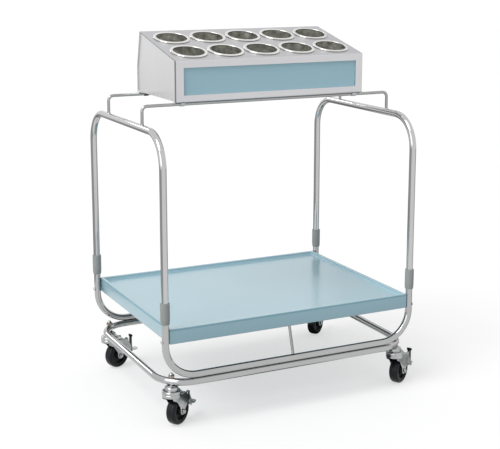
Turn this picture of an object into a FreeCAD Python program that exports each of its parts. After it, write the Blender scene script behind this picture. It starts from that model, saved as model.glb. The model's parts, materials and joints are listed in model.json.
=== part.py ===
"""Flatware and tray cart.

A chromed tube frame stands on four swivel casters. A hoop of tube lies level above the casters, two
U-shaped tubes stand on it, and two inverted U-shaped handle hoops are joined to their legs inside
plastic collars. A blue shelf pan is bolted between the legs, and a sloped console that holds ten
flatware cylinders sits on two rods that span the handle hoops.

Millimetres and degrees. The origin is on the floor under the middle of the frame, +X is to the right,
+Y to the rear and +Z up.
"""

import FreeCAD, Part
import math
import os
import re

import Sketcher
from FreeCAD import Placement, Rotation, Vector

SIZES = {
    # Frame tube: the four uprights stand at plus and minus the two half sizes
    "tube_d": 22,
    "tube_wall": 1.6,
    "frame_half_x": 430,
    "frame_half_y": 311,
    "bend_r": 100,
    "joint_z": 371,
    "handle_z": 902,
    # Gaps: pieces that rest on each other, pieces pushed together, and turning fits
    "seat_gap": 0.3,
    "slide_fit": 0.1,
    "turn_fit": 0.05,
    # Collars and the spigots inside the tube joints
    "collar_d": 29,
    "collar_len": 65,
    "collar_taper": 13,
    "collar_edge": 1.2,
    "joiner_len": 90,
    # Shelf pan, a little deeper front to rear than the frame
    "sheet": 1.5,
    "shelf_over": 7,
    "shelf_top": 321,
    "shelf_depth": 46,
    "shelf_rim": 12,
    "shelf_sink": 10,
    "shelf_hem": 14,
    "shelf_corner_r": 4,
    "shelf_edge_r": 2.5,
    "bolt_d": 6,
    "bolt_drop": 37,
    "bolt_head_d": 12,
    "bolt_head_rise": 4,
    "bolt_grip": 12,
    # Bent rod under the middle of the shelf
    "strut_d": 9,
    "strut_lean": 17,
    "strut_bend_r": 25,
    # Console rods and the saddle clips that hold the console to them
    "rod_d": 10,
    "rod_y": 150,
    "rod_bend_r": 16,
    "clip_wide": 14,
    "clip_ear": 13,
    "clip_inset": 24,
    # Console of folded sheet, made to hold the cylinders
    "console_rise": 60,
    "brow_deep": 27.5,
    "console_front": 127,
    "console_flange": 30,
    "slope": 13.4,
    "fold_r": 6,
    "window_side": 25,
    "window_low": 22,
    "window_tall": 83,
    "window_lip": 5,
    "panel_lap": 8,
    "panel_thick": 2,
    "end_inset": 4,
    # Flatware cylinders, and the room round their rows
    "cup_end": 75,
    "cup_row": 80,
    "cup_row_step": 142,
    "cup_row_back": 89,
    "cup_gap": 6,
    "cup_deep": 130,
    "cup_wall": 1.2,
    "cup_rim_d": 119,
    "cup_rim_wide": 9,
    "cup_taper": 4.5,
    "cup_rim_rise": 4,
    "cup_rim_edge": 3.5,
    "cup_base_r": 8,
    "cup_hole_gap": 0.8,
    # Casters: stem, bearing cap and fork
    "stem_d": 12,
    "stem_over": 15,
    "nut_corners": 21,
    "nut_tall": 10,
    "cap_d": 42,
    "cap_tall": 12,
    "king_d": 14,
    "king_head_d": 20,
    "king_head_tall": 4,
    "trail": 30,
    "crown_d": 60,
    "crown_gap": 14,
    "crown_tall": 20.4,
    "race_tall": 3,
    "drum_edge_r": 5,
    "fork_gap": 38,
    "fork_plate": 2.5,
    "fork_eye_r": 11,
    "fork_sweep_r": 16,
    "fork_fold_r": 4,
    "axle_d": 8,
    "axle_nut_corners": 15,
    "axle_nut_tall": 5.5,
    # Wheels
    "wheel_r": 44,
    "wheel_wide": 32,
    "tyre_thick": 11,
    "tyre_round": 9,
    "hub_d": 26,
    "hub_wide": 34,
    "web_thick": 10,
    "felloe": 6,
    # Brake levers, placed from the wheel's axle
    "brake_pin_d": 6,
    "brake_reach": 26,
    "brake_lift": 52,
    "lever_wide": 37.4,
    "lever_plate": 2,
    "lever_eye": 7,
    "lever_notch": 12,
    "lever_clear": 8,
    "pedal_lift": 2,
    "pedal_wide": 22,
    "pedal_reach": 29,
    "pedal_drop": 4,
    "pedal_curl": 7,
    "tab_wide": 14,
    "tab_side": 6,
    "tab_rise": 9,
    "tip_long": 8,
    "tip_wall": 2,
    # How far each caster is swivelled from trailing to the right
    "swivel_front_left": 33,
    "swivel_front_right": 30,
    "swivel_rear_left": 21,
    "swivel_rear_right": 36,
}

# Sizes that follow from the others, worked out on the same sheet
FOLLOWING = {
    "shelf_half_y": "frame_half_y + shelf_over",
    "bolt_z": "shelf_top - bolt_drop",
    "console_z": "handle_z + tube_d / 2 + console_rise",
    "cup_pitch": "cup_rim_d + cup_gap",
    "cup_mouth_d": "cup_rim_d - 2 * cup_rim_wide",
    "cup_base_d": "cup_mouth_d - 2 * cup_taper",
    "console_half_x": "2 * cup_pitch + cup_end",
    "slope_len": "cup_row + cup_row_step + cup_row_back",
    "console_half_y": "(slope_len * cos(slope) + brow_deep) / 2",
    "window_half_x": "console_half_x - window_side",
    "caster_rise": "2 * wheel_r + crown_gap + crown_tall + cap_tall + 2 * seat_gap",
    "brake_pin_x": "trail + brake_reach",
    "brake_pin_z": "wheel_r + brake_lift",
    "lever_back_x": "trail + wheel_r + lever_clear",
    "pedal_z": "wheel_r + pedal_lift",
    "tab_top": "brake_pin_z + tab_rise",
}

CORNERS = {
    "front_left": (-1, -1),
    "front_right": (1, -1),
    "rear_left": (-1, 1),
    "rear_right": (1, 1),
}
LOCK_TAB_CORNERS = ("front_right", "rear_left")
CUP_COLUMNS = (-2, -1, 0, 1, 2)
UP = Vector(0, 0, 1)

# Places worked out from the driving dimensions
TUBE_R = "(tube_d / 2)"
HOOP_Z = f"(caster_rise + {TUBE_R})"
LOWER_U_Z = f"({HOOP_Z} + tube_d + seat_gap)"
STEM_X = "(frame_half_x - bend_r * (1 - cos(45)))"
STEM_Y = "(frame_half_y - bend_r * (1 - cos(45)))"
SHELF_HALF_X = f"(frame_half_x - {TUBE_R} - seat_gap)"
SHELF_LOW = "(shelf_top - shelf_depth)"
SHELF_FLOOR_LOW = "(shelf_top - shelf_sink - sheet)"
ROD_Z = "(console_z - seat_gap - rod_d / 2)"
CONSOLE_FRONT_TOP = "(console_z + console_front)"
CAP_LOW = "(caster_rise - seat_gap - cap_tall)"
CROWN_TOP = f"({CAP_LOW} - seat_gap)"
CROWN_LOW = "(2 * wheel_r + crown_gap)"
FORK_HALF = "(fork_gap / 2 + fork_plate)"
FORK_TOP = f"({CROWN_LOW} + fork_plate)"

doc = FreeCAD.newDocument("flatware_tray_cart")
sheet = doc.addObject("Spreadsheet::Sheet", "sizes")
cells = {name: str(value) for name, value in SIZES.items()}
cells.update((name, f"={formula}") for name, formula in FOLLOWING.items())
for row, (name, content) in enumerate(cells.items(), 1):
    sheet.set(f"A{row}", name)
    sheet.setAlias(f"B{row}", name)
    sheet.set(f"B{row}", content)
doc.recompute()

SIZE_WORDS = re.compile(r"\b(" + "|".join(cells) + r")\b")
nodes = []


def number(text):
    """The present value of an expression on the sheet's sizes."""
    return float(sheet.evalExpression(text))


def bind(target, prop, text):
    """Tie a property to an expression on the sheet's sizes."""
    target.setExpression(prop, SIZE_WORDS.sub(r"sizes.\1", text))


def new_body(label):
    body = doc.addObject("PartDesign::Body", label)
    body.Label = label
    return body


def place(thing, x="0", y="0", z="0", axis=UP, angle="0"):
    """Put a piece at a point, turned about an axis through that point."""
    thing.Placement = Placement(Vector(), Rotation(axis, number(angle)))
    for letter, text in zip("xyz", (x, y, z)):
        bind(thing, f"Placement.Base.{letter}", text)
    if number(angle):
        bind(thing, "Placement.Rotation.Angle", angle)


def sketch_on(body, role, name, level="0", across="0", up="0", tilt="0"):
    """A sketch on an origin plane of its body, moved in and off that plane and tilted about its X axis."""
    plane = next(feature for feature in body.Origin.OriginFeatures if feature.Role == role)
    sketch = body.newObject("Sketcher::SketchObject", f"{body.Name}_{name}")
    sketch.AttachmentSupport = [(plane, "")]
    sketch.MapMode = "FlatFace"
    sketch.AttachmentOffset = Placement(Vector(), Rotation(Vector(1, 0, 0), number(tilt)))
    for letter, text in zip("xyz", (across, up, level)):
        bind(sketch, f"AttachmentOffset.Base.{letter}", text)
    if number(tilt):
        bind(sketch, "AttachmentOffset.Rotation.Angle", tilt)
    return sketch


def pin(sketch, geometry, end, x, y):
    """Hold a point of the sketch at two expressions, or on an axis where one of them is zero."""
    for kind, axis, text in (("DistanceX", -2, x), ("DistanceY", -1, y)):
        value = number(text)
        if abs(value) < 1e-9:
            sketch.addConstraint(Sketcher.Constraint("PointOnObject", geometry, end, axis))
            continue
        ends = (-1, 1, geometry, end) if value > 0 else (geometry, end, -1, 1)
        index = sketch.addConstraint(Sketcher.Constraint(kind, *ends, abs(value)))
        bind(sketch, f"Constraints[{index}]", text if value > 0 else f"-({text})")


def outline(sketch, corners):
    """A closed outline of straight lines through the corners."""
    spots = [Vector(number(x), number(y), 0) for x, y in corners]
    lines = [sketch.addGeometry(Part.LineSegment(a, b)) for a, b in zip(spots, spots[1:] + spots[:1])]
    for line, following in zip(lines, lines[1:] + lines[:1]):
        sketch.addConstraint(Sketcher.Constraint("Coincident", line, 2, following, 1))
    for line, (x, y) in zip(lines, corners):
        pin(sketch, line, 1, x, y)


def rectangle(sketch, left, low, right, high):
    outline(sketch, [(left, low), (right, low), (right, high), (left, high)])


def centred_rectangle(sketch, half_x, half_y):
    rectangle(sketch, f"-({half_x})", f"-({half_y})", half_x, half_y)


def circle(sketch, x, y, radius):
    spot = Vector(number(x), number(y), 0)
    ring = sketch.addGeometry(Part.Circle(spot, UP, number(radius)))
    pin(sketch, ring, 3, x, y)
    index = sketch.addConstraint(Sketcher.Constraint("Radius", ring, number(radius)))
    bind(sketch, f"Constraints[{index}]", radius)


def hexagon(sketch, x, y, corner_r):
    turns = [f"{60 * step}" for step in range(6)]
    outline(sketch, [(f"{x} + {corner_r} * cos({t})", f"{y} + {corner_r} * sin({t})") for t in turns])


def bent_path(sketch, corners, radius, closed=False):
    """Straight runs aimed at the corners, with a tangent arc of one radius round each bend."""
    spots = [Vector(number(x), number(y), 0) for x, y in corners]
    bend = number(radius)
    count = len(spots)
    runs = count if closed else count - 1
    heading = [(spots[(k + 1) % count] - spots[k]).normalize() for k in range(runs)]
    bends = range(count) if closed else range(1, count - 1)
    entry, leave, sides = {}, {}, {}
    for k in bends:
        before, after = heading[k - 1], heading[k % runs]
        trim = bend * math.tan(before.getAngle(after) / 2)
        entry[k] = spots[k] - before * trim
        leave[k] = spots[k] + after * trim
        sides[k] = 1 if before.cross(after).z > 0 else -1
    lines = []
    for k in range(runs):
        start = leave.get(k, spots[k])
        stop = entry.get((k + 1) % count, spots[(k + 1) % count])
        lines.append(sketch.addGeometry(Part.LineSegment(start, stop)))
    for k in bends:
        before = heading[k - 1]
        centre = entry[k] + Vector(-before.y, before.x, 0) * (bend * sides[k])
        ends = (entry[k], leave[k]) if sides[k] > 0 else (leave[k], entry[k])
        angles = [math.atan2((p - centre).y, (p - centre).x) for p in ends]
        arc = sketch.addGeometry(Part.ArcOfCircle(Part.Circle(centre, UP, bend), *angles))
        first, last = (1, 2) if sides[k] > 0 else (2, 1)
        sketch.addConstraint(Sketcher.Constraint("Tangent", lines[k - 1], 2, arc, first))
        sketch.addConstraint(Sketcher.Constraint("Tangent", arc, last, lines[k % runs], 1))
        index = sketch.addConstraint(Sketcher.Constraint("Radius", arc, bend))
        bind(sketch, f"Constraints[{index}]", radius)
        aim = sketch.addGeometry(Part.Point(spots[k]), True)
        pin(sketch, aim, 1, *corners[k])
        sketch.addConstraint(Sketcher.Constraint("PointOnObject", aim, 1, lines[k - 1]))
        sketch.addConstraint(Sketcher.Constraint("PointOnObject", aim, 1, lines[k % runs]))
    if not closed:
        pin(sketch, lines[0], 1, *corners[0])
        pin(sketch, lines[-1], 2, *corners[-1])


def pad(body, sketch, name, length, symmetric=True, back=False):
    feature = body.newObject("PartDesign::Pad", f"{body.Name}_{name}")
    feature.Profile = sketch
    feature.SideType = "Symmetric" if symmetric else "One side"
    feature.Reversed = back
    bind(feature, "Length", length)
    return feature


def pocket(body, sketch, name, length="", symmetric=True, back=False):
    """A cut of the given length, or right through the body both ways where there is none."""
    feature = body.newObject("PartDesign::Pocket", f"{body.Name}_{name}")
    feature.Profile = sketch
    feature.SideType = "Symmetric" if symmetric else "One side"
    feature.Reversed = back
    if length:
        bind(feature, "Length", length)
    else:
        feature.Type = "ThroughAll"
    return feature


def round_edges(body, name, radius, chosen):
    """Fillet those edges of the body so far whose middle point passes the test."""
    doc.recompute()
    base = body.Tip
    edges = []
    for index, edge in enumerate(base.Shape.Edges, 1):
        middle = edge.valueAt((edge.FirstParameter + edge.LastParameter) / 2)
        if chosen(edge, middle):
            edges.append(f"Edge{index}")
    feature = body.newObject("PartDesign::Fillet", f"{body.Name}_{name}")
    feature.Base = (base, edges)
    bind(feature, "Radius", radius)


def close_to(value, text):
    return abs(value - number(text)) < 1e-4


def turned(label, corners, role="XZ_Plane", **shift):
    """A body of revolution: its half outline is turned about the sketch's vertical axis."""
    body = new_body(label)
    sketch = sketch_on(body, role, "half", **shift)
    outline(sketch, corners)
    feature = body.newObject("PartDesign::Revolution", f"{label}_turn")
    feature.Profile = sketch
    feature.ReferenceAxis = (sketch, ["V_Axis"])
    return body


def bent_tube(label, path, corners, radius, section, centre, outer, inner="", closed=False):
    """A round bar, or a tube where it has an inner diameter, swept along straight runs and bends.

    path and section are the planes of the two sketches, with the places of those planes.
    """
    body = new_body(label)
    spine = sketch_on(body, path[0], "path", **path[1])
    bent_path(spine, corners, radius, closed)
    for name, kind, size in (("skin", "AdditivePipe", outer), ("bore", "SubtractivePipe", inner)):
        if size:
            ring = sketch_on(body, section[0], f"{name}_ring", **section[1])
            circle(ring, *centre, f"({size}) / 2")
            feature = body.newObject(f"PartDesign::{kind}", f"{label}_{name}")
            feature.Profile = ring
            feature.Spine = spine
    return body


def group(label, bodies):
    """Like fasteners, kept together as separate solids of one piece."""
    compound = doc.addObject("Part::Compound", label)
    compound.Label = label
    compound.Links = bodies
    nodes.append(compound)


def signed(sign, text):
    return f"{sign} * ({text})"


TUBE_BORE = "tube_d - 2 * tube_wall"


def base_hoop():
    """Level closed hoop of tube, drilled at its four corners for the caster stems."""
    corners = [(signed(x, "frame_half_x"), signed(y, "frame_half_y"))
               for x, y in ((-1, -1), (1, -1), (1, 1), (-1, 1))]
    start = {"level": "bend_r - frame_half_x"}
    hoop = bent_tube("base_ring", ("XY_Plane", {"level": HOOP_Z}), corners, "bend_r",
                     ("YZ_Plane", start), ("-frame_half_y", HOOP_Z), "tube_d", TUBE_BORE, closed=True)
    holes = sketch_on(hoop, "XY_Plane", "stem_holes", level=HOOP_Z)
    for x, y in CORNERS.values():
        circle(holes, signed(x, STEM_X), signed(y, STEM_Y), "stem_d / 2 + slide_fit")
    pocket(hoop, holes, "stem_drill")
    nodes.append(hoop)


def lower_u(label, y_sign):
    """U of tube standing on the hoop, cross-drilled through both legs for the shelf bolts."""
    corners = [("-frame_half_x", "joint_z"), ("-frame_half_x", LOWER_U_Z),
               ("frame_half_x", LOWER_U_Z), ("frame_half_x", "joint_z")]
    y = signed(y_sign, "frame_half_y")
    tube = bent_tube(label, ("XZ_Plane", {"level": signed(-1, y)}), corners, "bend_r",
                     ("XY_Plane", {"level": "joint_z"}), ("-frame_half_x", y), "tube_d", TUBE_BORE)
    holes = sketch_on(tube, "YZ_Plane", "bolt_holes")
    circle(holes, y, "bolt_z", "bolt_d / 2 + slide_fit")
    pocket(tube, holes, "bolt_drill")
    nodes.append(tube)


def handle_hoop(label, x_sign):
    """Inverted U of tube, from the front joint over the top to the rear joint."""
    corners = [("-frame_half_y", "joint_z"), ("-frame_half_y", "handle_z"),
               ("frame_half_y", "handle_z"), ("frame_half_y", "joint_z")]
    x = signed(x_sign, "frame_half_x")
    nodes.append(bent_tube(label, ("YZ_Plane", {"level": x}), corners, "bend_r",
                           ("XY_Plane", {"level": "joint_z"}), (x, "-frame_half_y"), "tube_d", TUBE_BORE))


def tube_joints():
    """At each upright a plastic collar covers the joint, and a steel spigot fills both tube ends."""
    spigots = []
    for corner, (x, y) in CORNERS.items():
        at = {"x": signed(x, "frame_half_x"), "y": signed(y, "frame_half_y"), "z": "joint_z"}
        bore = f"{TUBE_R} + slide_fit"
        collar = turned(f"{corner}_collar", [
            (bore, "-collar_len / 2"), (f"{bore} + collar_edge", "-collar_len / 2"),
            ("collar_d / 2", "collar_taper - collar_len / 2"), ("collar_d / 2", "collar_len / 2"),
            (bore, "collar_len / 2")])
        place(collar, **at)
        nodes.append(collar)
        fit = f"({TUBE_BORE}) / 2 - slide_fit"
        half = "joiner_len / 2"
        spigot = turned(f"{corner}_spigot", [("0", f"-{half}"), (fit, f"-{half}"), (fit, half), ("0", half)])
        place(spigot, **at)
        spigots.append(spigot)
    group("tube_joiners", spigots)


def shelf_pan():
    """Pressed sheet pan: sunk floor, folded rim, deep skirt and a hem turned in under it."""
    pan = new_body("shelf_pan")
    blank = sketch_on(pan, "XY_Plane", "blank", level=SHELF_LOW)
    centred_rectangle(blank, SHELF_HALF_X, "shelf_half_y")
    pad(pan, blank, "block", "shelf_depth", symmetric=False)

    floor = sketch_on(pan, "XY_Plane", "floor", level="shelf_top")
    centred_rectangle(floor, f"{SHELF_HALF_X} - shelf_rim", "shelf_half_y - shelf_rim")
    pocket(pan, floor, "sink", "shelf_sink", symmetric=False)

    under = sketch_on(pan, "XY_Plane", "under", level=SHELF_LOW)
    centred_rectangle(under, f"{SHELF_HALF_X} - sheet", "shelf_half_y - sheet")
    pocket(pan, under, "hollow", "shelf_depth - shelf_sink - sheet", symmetric=False, back=True)

    channel = sketch_on(pan, "XY_Plane", "channel", level=SHELF_LOW)
    centred_rectangle(channel, f"{SHELF_HALF_X} - sheet", "shelf_half_y - sheet")
    step = "shelf_rim - sheet"
    centred_rectangle(channel, f"{SHELF_HALF_X} - ({step})", f"shelf_half_y - ({step})")
    pocket(pan, channel, "rim_fold", "shelf_depth - sheet", symmetric=False, back=True)

    hem = sketch_on(pan, "XY_Plane", "hem", level=SHELF_LOW)
    centred_rectangle(hem, f"{SHELF_HALF_X} - sheet / 2", "shelf_half_y - sheet / 2")
    centred_rectangle(hem, f"{SHELF_HALF_X} - shelf_hem", "shelf_half_y - shelf_hem")
    pad(pan, hem, "hem_fold", "sheet", symmetric=False)

    holes = sketch_on(pan, "YZ_Plane", "bolt_holes")
    for sign in (-1, 1):
        circle(holes, signed(sign, "frame_half_y"), "bolt_z", "bolt_d / 2 + slide_fit")
    pocket(pan, holes, "bolt_drill")

    def outer_corner(edge, middle):
        return close_to(abs(middle.x), SHELF_HALF_X) and close_to(abs(middle.y), "shelf_half_y")

    round_edges(pan, "corners", "shelf_corner_r", outer_corner)

    def outer_rim(edge, middle):
        outside = (abs(middle.x) > number(f"{SHELF_HALF_X} - shelf_corner_r")
                   or abs(middle.y) > number("shelf_half_y - shelf_corner_r"))
        return outside and close_to(middle.z, "shelf_top") and edge.Length > number("shelf_corner_r")

    round_edges(pan, "rim_edge", "shelf_edge_r", outer_rim)
    nodes.append(pan)

    bolts = []
    for corner, (x, y) in CORNERS.items():
        head_r = "bolt_head_d / 2"
        shank = "-(tube_d + seat_gap + sheet + bolt_grip)"
        bolt = turned(f"{corner}_shelf_bolt", [
            ("0", shank), ("bolt_d / 2", shank), ("bolt_d / 2", "slide_fit"), (head_r, "slide_fit"),
            (head_r, "bolt_head_rise / 2"), (f"{head_r} / 2", "bolt_head_rise"), ("0", "bolt_head_rise")])
        place(bolt, signed(x, f"frame_half_x + {TUBE_R}"), signed(y, "frame_half_y"), "bolt_z",
              Vector(0, x, 0), "90")
        bolts.append(bolt)
    group("shelf_bolts", bolts)


def shelf_support():
    """Bent rod from the front U, up under the middle of the shelf and down to the rear U."""
    top = f"({SHELF_FLOOR_LOW} - seat_gap - strut_d / 2)"
    foot = f"({LOWER_U_Z} + {TUBE_R} + seat_gap + strut_d / 2 * sin(strut_lean))"
    top_y = f"(frame_half_y - ({top} - {foot}) * tan(strut_lean))"
    corners = [("-frame_half_y", foot), (f"-{top_y}", top), (top_y, top), ("frame_half_y", foot)]
    square_to_leg = {"level": foot, "up": "-frame_half_y", "tilt": "360 - strut_lean"}
    nodes.append(bent_tube("shelf_support_rod", ("YZ_Plane", {}), corners, "strut_bend_r",
                           ("XY_Plane", square_to_leg), ("0", "0"), "strut_d"))


def console_rod(label, y_sign):
    """Thin rod welded on both handle hoops, cranked up to carry the console."""
    seat = f"(handle_z + {TUBE_R} + seat_gap)"
    left, right = "-frame_half_x", "frame_half_x"
    corners = [(left, seat), (left, ROD_Z), (right, ROD_Z), (right, seat)]
    y = signed(y_sign, "rod_y")
    nodes.append(bent_tube(label, ("XZ_Plane", {"level": signed(-1, y)}), corners, "rod_bend_r",
                           ("XY_Plane", {"level": seat}), (left, y), "rod_d"))


def console_clips():
    """Saddle clips: each wraps under a rod, and its two ears lie flat on the console's flange."""
    clips = {-1: [], 1: []}
    inner = "(rod_d / 2 + slide_fit)"
    outer = f"({inner} + sheet)"
    top = "(rod_d / 2 + seat_gap - turn_fit)"
    for corner, (x, y) in CORNERS.items():
        clip = new_body(f"{corner}_clip")
        shape = sketch_on(clip, "YZ_Plane", "shape")
        outline(shape, [
            ("-clip_ear", top), ("-clip_ear", f"{top} - sheet"), (f"-{outer}", f"{top} - sheet"),
            (f"-{outer}", f"-{outer}"), (outer, f"-{outer}"), (outer, f"{top} - sheet"),
            ("clip_ear", f"{top} - sheet"), ("clip_ear", top)])
        pad(clip, shape, "strip", "clip_wide")

        def underside(edge, middle):
            return close_to(middle.z, f"-{outer}") and close_to(abs(middle.y), outer)

        round_edges(clip, "saddle", inner, underside)
        slot = sketch_on(clip, "YZ_Plane", "slot")
        rectangle(slot, f"-{inner}", "0", inner, f"{top} + sheet")
        pocket(clip, slot, "throat")
        seat = sketch_on(clip, "YZ_Plane", "seat")
        circle(seat, "0", "0", inner)
        pocket(clip, seat, "rod_seat")
        place(clip, signed(x, "console_half_x - clip_inset"), signed(y, "rod_y"), ROD_Z)
        clips[y].append(clip)
    group("front_console_clips", clips[-1])
    group("rear_console_clips", clips[1])


def console_side(inset):
    """The console's end-on outline, moved inwards: front edge, slope, square rear brow and upright back."""
    rear_y = f"(slope_len * cos(slope) - console_half_y - ({inset}) * (cos(slope) - sin(slope)))"
    rear_z = f"({CONSOLE_FRONT_TOP} + slope_len * sin(slope) - ({inset}) * (sin(slope) + cos(slope)))"
    front_z = f"({CONSOLE_FRONT_TOP} + ({inset}) * (tan(slope) - 1 / cos(slope)))"
    back = f"(console_half_y - ({inset}))"
    brow_z = f"({rear_z} - ({back} - {rear_y}) / tan(slope))"
    low = f"console_z + {inset}"
    return [(f"-{back}", low), (f"-{back}", front_z), (rear_y, rear_z), (back, brow_z), (back, low)]


def console_shell():
    """One folded sheet: front, sloped top, back and two bottom flanges, with a window and ten holes."""
    shell = new_body("console_shell")
    side = sketch_on(shell, "YZ_Plane", "side")
    outline(side, console_side("0"))
    pad(shell, side, "block", "2 * console_half_x")
    inside = sketch_on(shell, "YZ_Plane", "inside")
    outline(inside, console_side("sheet"))
    pocket(shell, inside, "hollow")
    mouth = sketch_on(shell, "XY_Plane", "mouth", level="console_z")
    centred_rectangle(mouth, "console_half_x + sheet", "console_half_y - console_flange")
    pocket(shell, mouth, "bottom_opening", "2 * sheet", symmetric=False, back=True)

    for name, inset, radius in (("inner_folds", "sheet", "fold_r - sheet"), ("outer_folds", "0", "fold_r")):
        folds = [(number(y), number(z)) for y, z in console_side(inset)]

        def on_fold(edge, middle):
            near = any(math.hypot(middle.y - y, middle.z - z) < 1e-4 for y, z in folds)
            return near and edge.Length > number("console_half_x")

        round_edges(shell, name, radius, on_fold)

    low, high = "(console_z + window_low)", "(console_z + window_low + window_tall)"
    lip = sketch_on(shell, "XZ_Plane", "lip", level="console_half_y")
    rectangle(lip, "-window_half_x - sheet", f"{low} - sheet", "window_half_x + sheet", f"{high} + sheet")
    pad(shell, lip, "window_lip", "window_lip", symmetric=False, back=True)
    window = sketch_on(shell, "XZ_Plane", "window", level="console_half_y")
    rectangle(window, "-window_half_x", low, "window_half_x", high)
    pocket(shell, window, "window_cut", "3 * window_lip")

    on_slope = {"level": CONSOLE_FRONT_TOP, "up": "-console_half_y", "tilt": "slope"}
    holes = sketch_on(shell, "XY_Plane", "cup_holes", **on_slope)
    for along in ("cup_row", "cup_row + cup_row_step"):
        for column in CUP_COLUMNS:
            circle(holes, f"{column} * cup_pitch", along, "cup_mouth_d / 2 + cup_wall + cup_hole_gap")
    pocket(shell, holes, "cup_cut", "6 * sheet")
    nodes.append(shell)


def console_panels():
    """End panels set inside the folded sheet, and the coloured panel behind the window's lip."""
    inset = "sheet + seat_gap"
    corners = [(number(y), number(z)) for y, z in console_side(inset)]
    ends = (("console_left_end", "end_inset - console_half_x"),
            ("console_right_end", "console_half_x - end_inset - sheet"))

    def on_corner(edge, middle):
        return any(math.hypot(middle.y - y, middle.z - z) < 1e-4 for y, z in corners)

    for label, level in ends:
        end = new_body(label)
        side = sketch_on(end, "YZ_Plane", "side", level=level)
        outline(side, console_side(inset))
        pad(end, side, "plate", "sheet", symmetric=False)
        round_edges(end, "corners", "fold_r - sheet - seat_gap", on_corner)
        nodes.append(end)

    panel = new_body("console_front_panel")
    face = sketch_on(panel, "XZ_Plane", "face", level="console_half_y - window_lip - seat_gap")
    rectangle(face, "-window_half_x - panel_lap", "console_z + window_low - panel_lap",
              "window_half_x + panel_lap", "console_z + window_low + window_tall + panel_lap")
    pad(panel, face, "plate", "panel_thick", symmetric=False, back=True)
    nodes.append(panel)


def flatware_cylinders():
    """Deep drawn cups that hang in the sloped top by their raised rims."""
    mouth, base, rim = "cup_mouth_d / 2", "cup_base_d / 2", "cup_rim_d / 2"
    for row_name, along in (("front", "cup_row"), ("rear", "(cup_row + cup_row_step)")):
        for count, column in enumerate(CUP_COLUMNS, 1):
            cup = turned(f"flatware_cylinder_{row_name}_{count}", [
                ("0", "-cup_deep"), (f"{base} + cup_wall", "-cup_deep"), (f"{mouth} + cup_wall", "slide_fit"),
                (rim, "slide_fit"), (rim, "cup_rim_rise"), (mouth, "cup_rim_rise"),
                (base, "cup_wall - cup_deep"), ("0", "cup_wall - cup_deep")])

            def bead(edge, middle):
                return close_to(middle.z, "cup_rim_rise")


            def heel(edge, middle):
                return close_to(middle.z, "-cup_deep") and close_to(math.hypot(middle.x, middle.y),
                                                                    f"{base} + cup_wall")

            def inner_heel(edge, middle):
                return close_to(middle.z, "cup_wall - cup_deep") and close_to(
                    math.hypot(middle.x, middle.y), base)

            round_edges(cup, "bead", "cup_rim_edge", bead)
            round_edges(cup, "inner_heel", "cup_base_r - cup_wall", inner_heel)
            round_edges(cup, "heel", "cup_base_r", heel)
            place(cup, f"{column} * cup_pitch", f"{along} * cos(slope) - console_half_y",
                  f"{CONSOLE_FRONT_TOP} + {along} * sin(slope)", Vector(1, 0, 0), "slope")
            nodes.append(cup)


def caster_stem(label):
    """Stem, bearing cap and king pin in one forging, held in the hoop by its nut."""
    king, stem, cap = "king_d / 2", "stem_d / 2", "cap_d / 2"
    head_top = f"{CROWN_LOW} - seat_gap"
    cap_top = "caster_rise - seat_gap"
    return turned(label, [
        ("0", f"{head_top} - king_head_tall"), ("king_head_d / 2", f"{head_top} - king_head_tall"),
        ("king_head_d / 2", head_top), (king, head_top), (king, CAP_LOW), (cap, CAP_LOW),
        (cap, f"{CAP_LOW} + cap_tall / 2"), (f"({stem} + {cap}) / 2", cap_top), (stem, cap_top),
        (stem, "caster_rise + tube_d + stem_over"), ("0", "caster_rise + tube_d + stem_over")])


def stem_nut(label):
    nut = new_body(label)
    flats = sketch_on(nut, "XY_Plane", "flats", level="caster_rise + tube_d + seat_gap")
    hexagon(flats, "0", "0", "nut_corners / 2")
    circle(flats, "0", "0", "stem_d / 2 + slide_fit")
    pad(nut, flats, "blank", "nut_tall", symmetric=False)
    return nut


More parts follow.
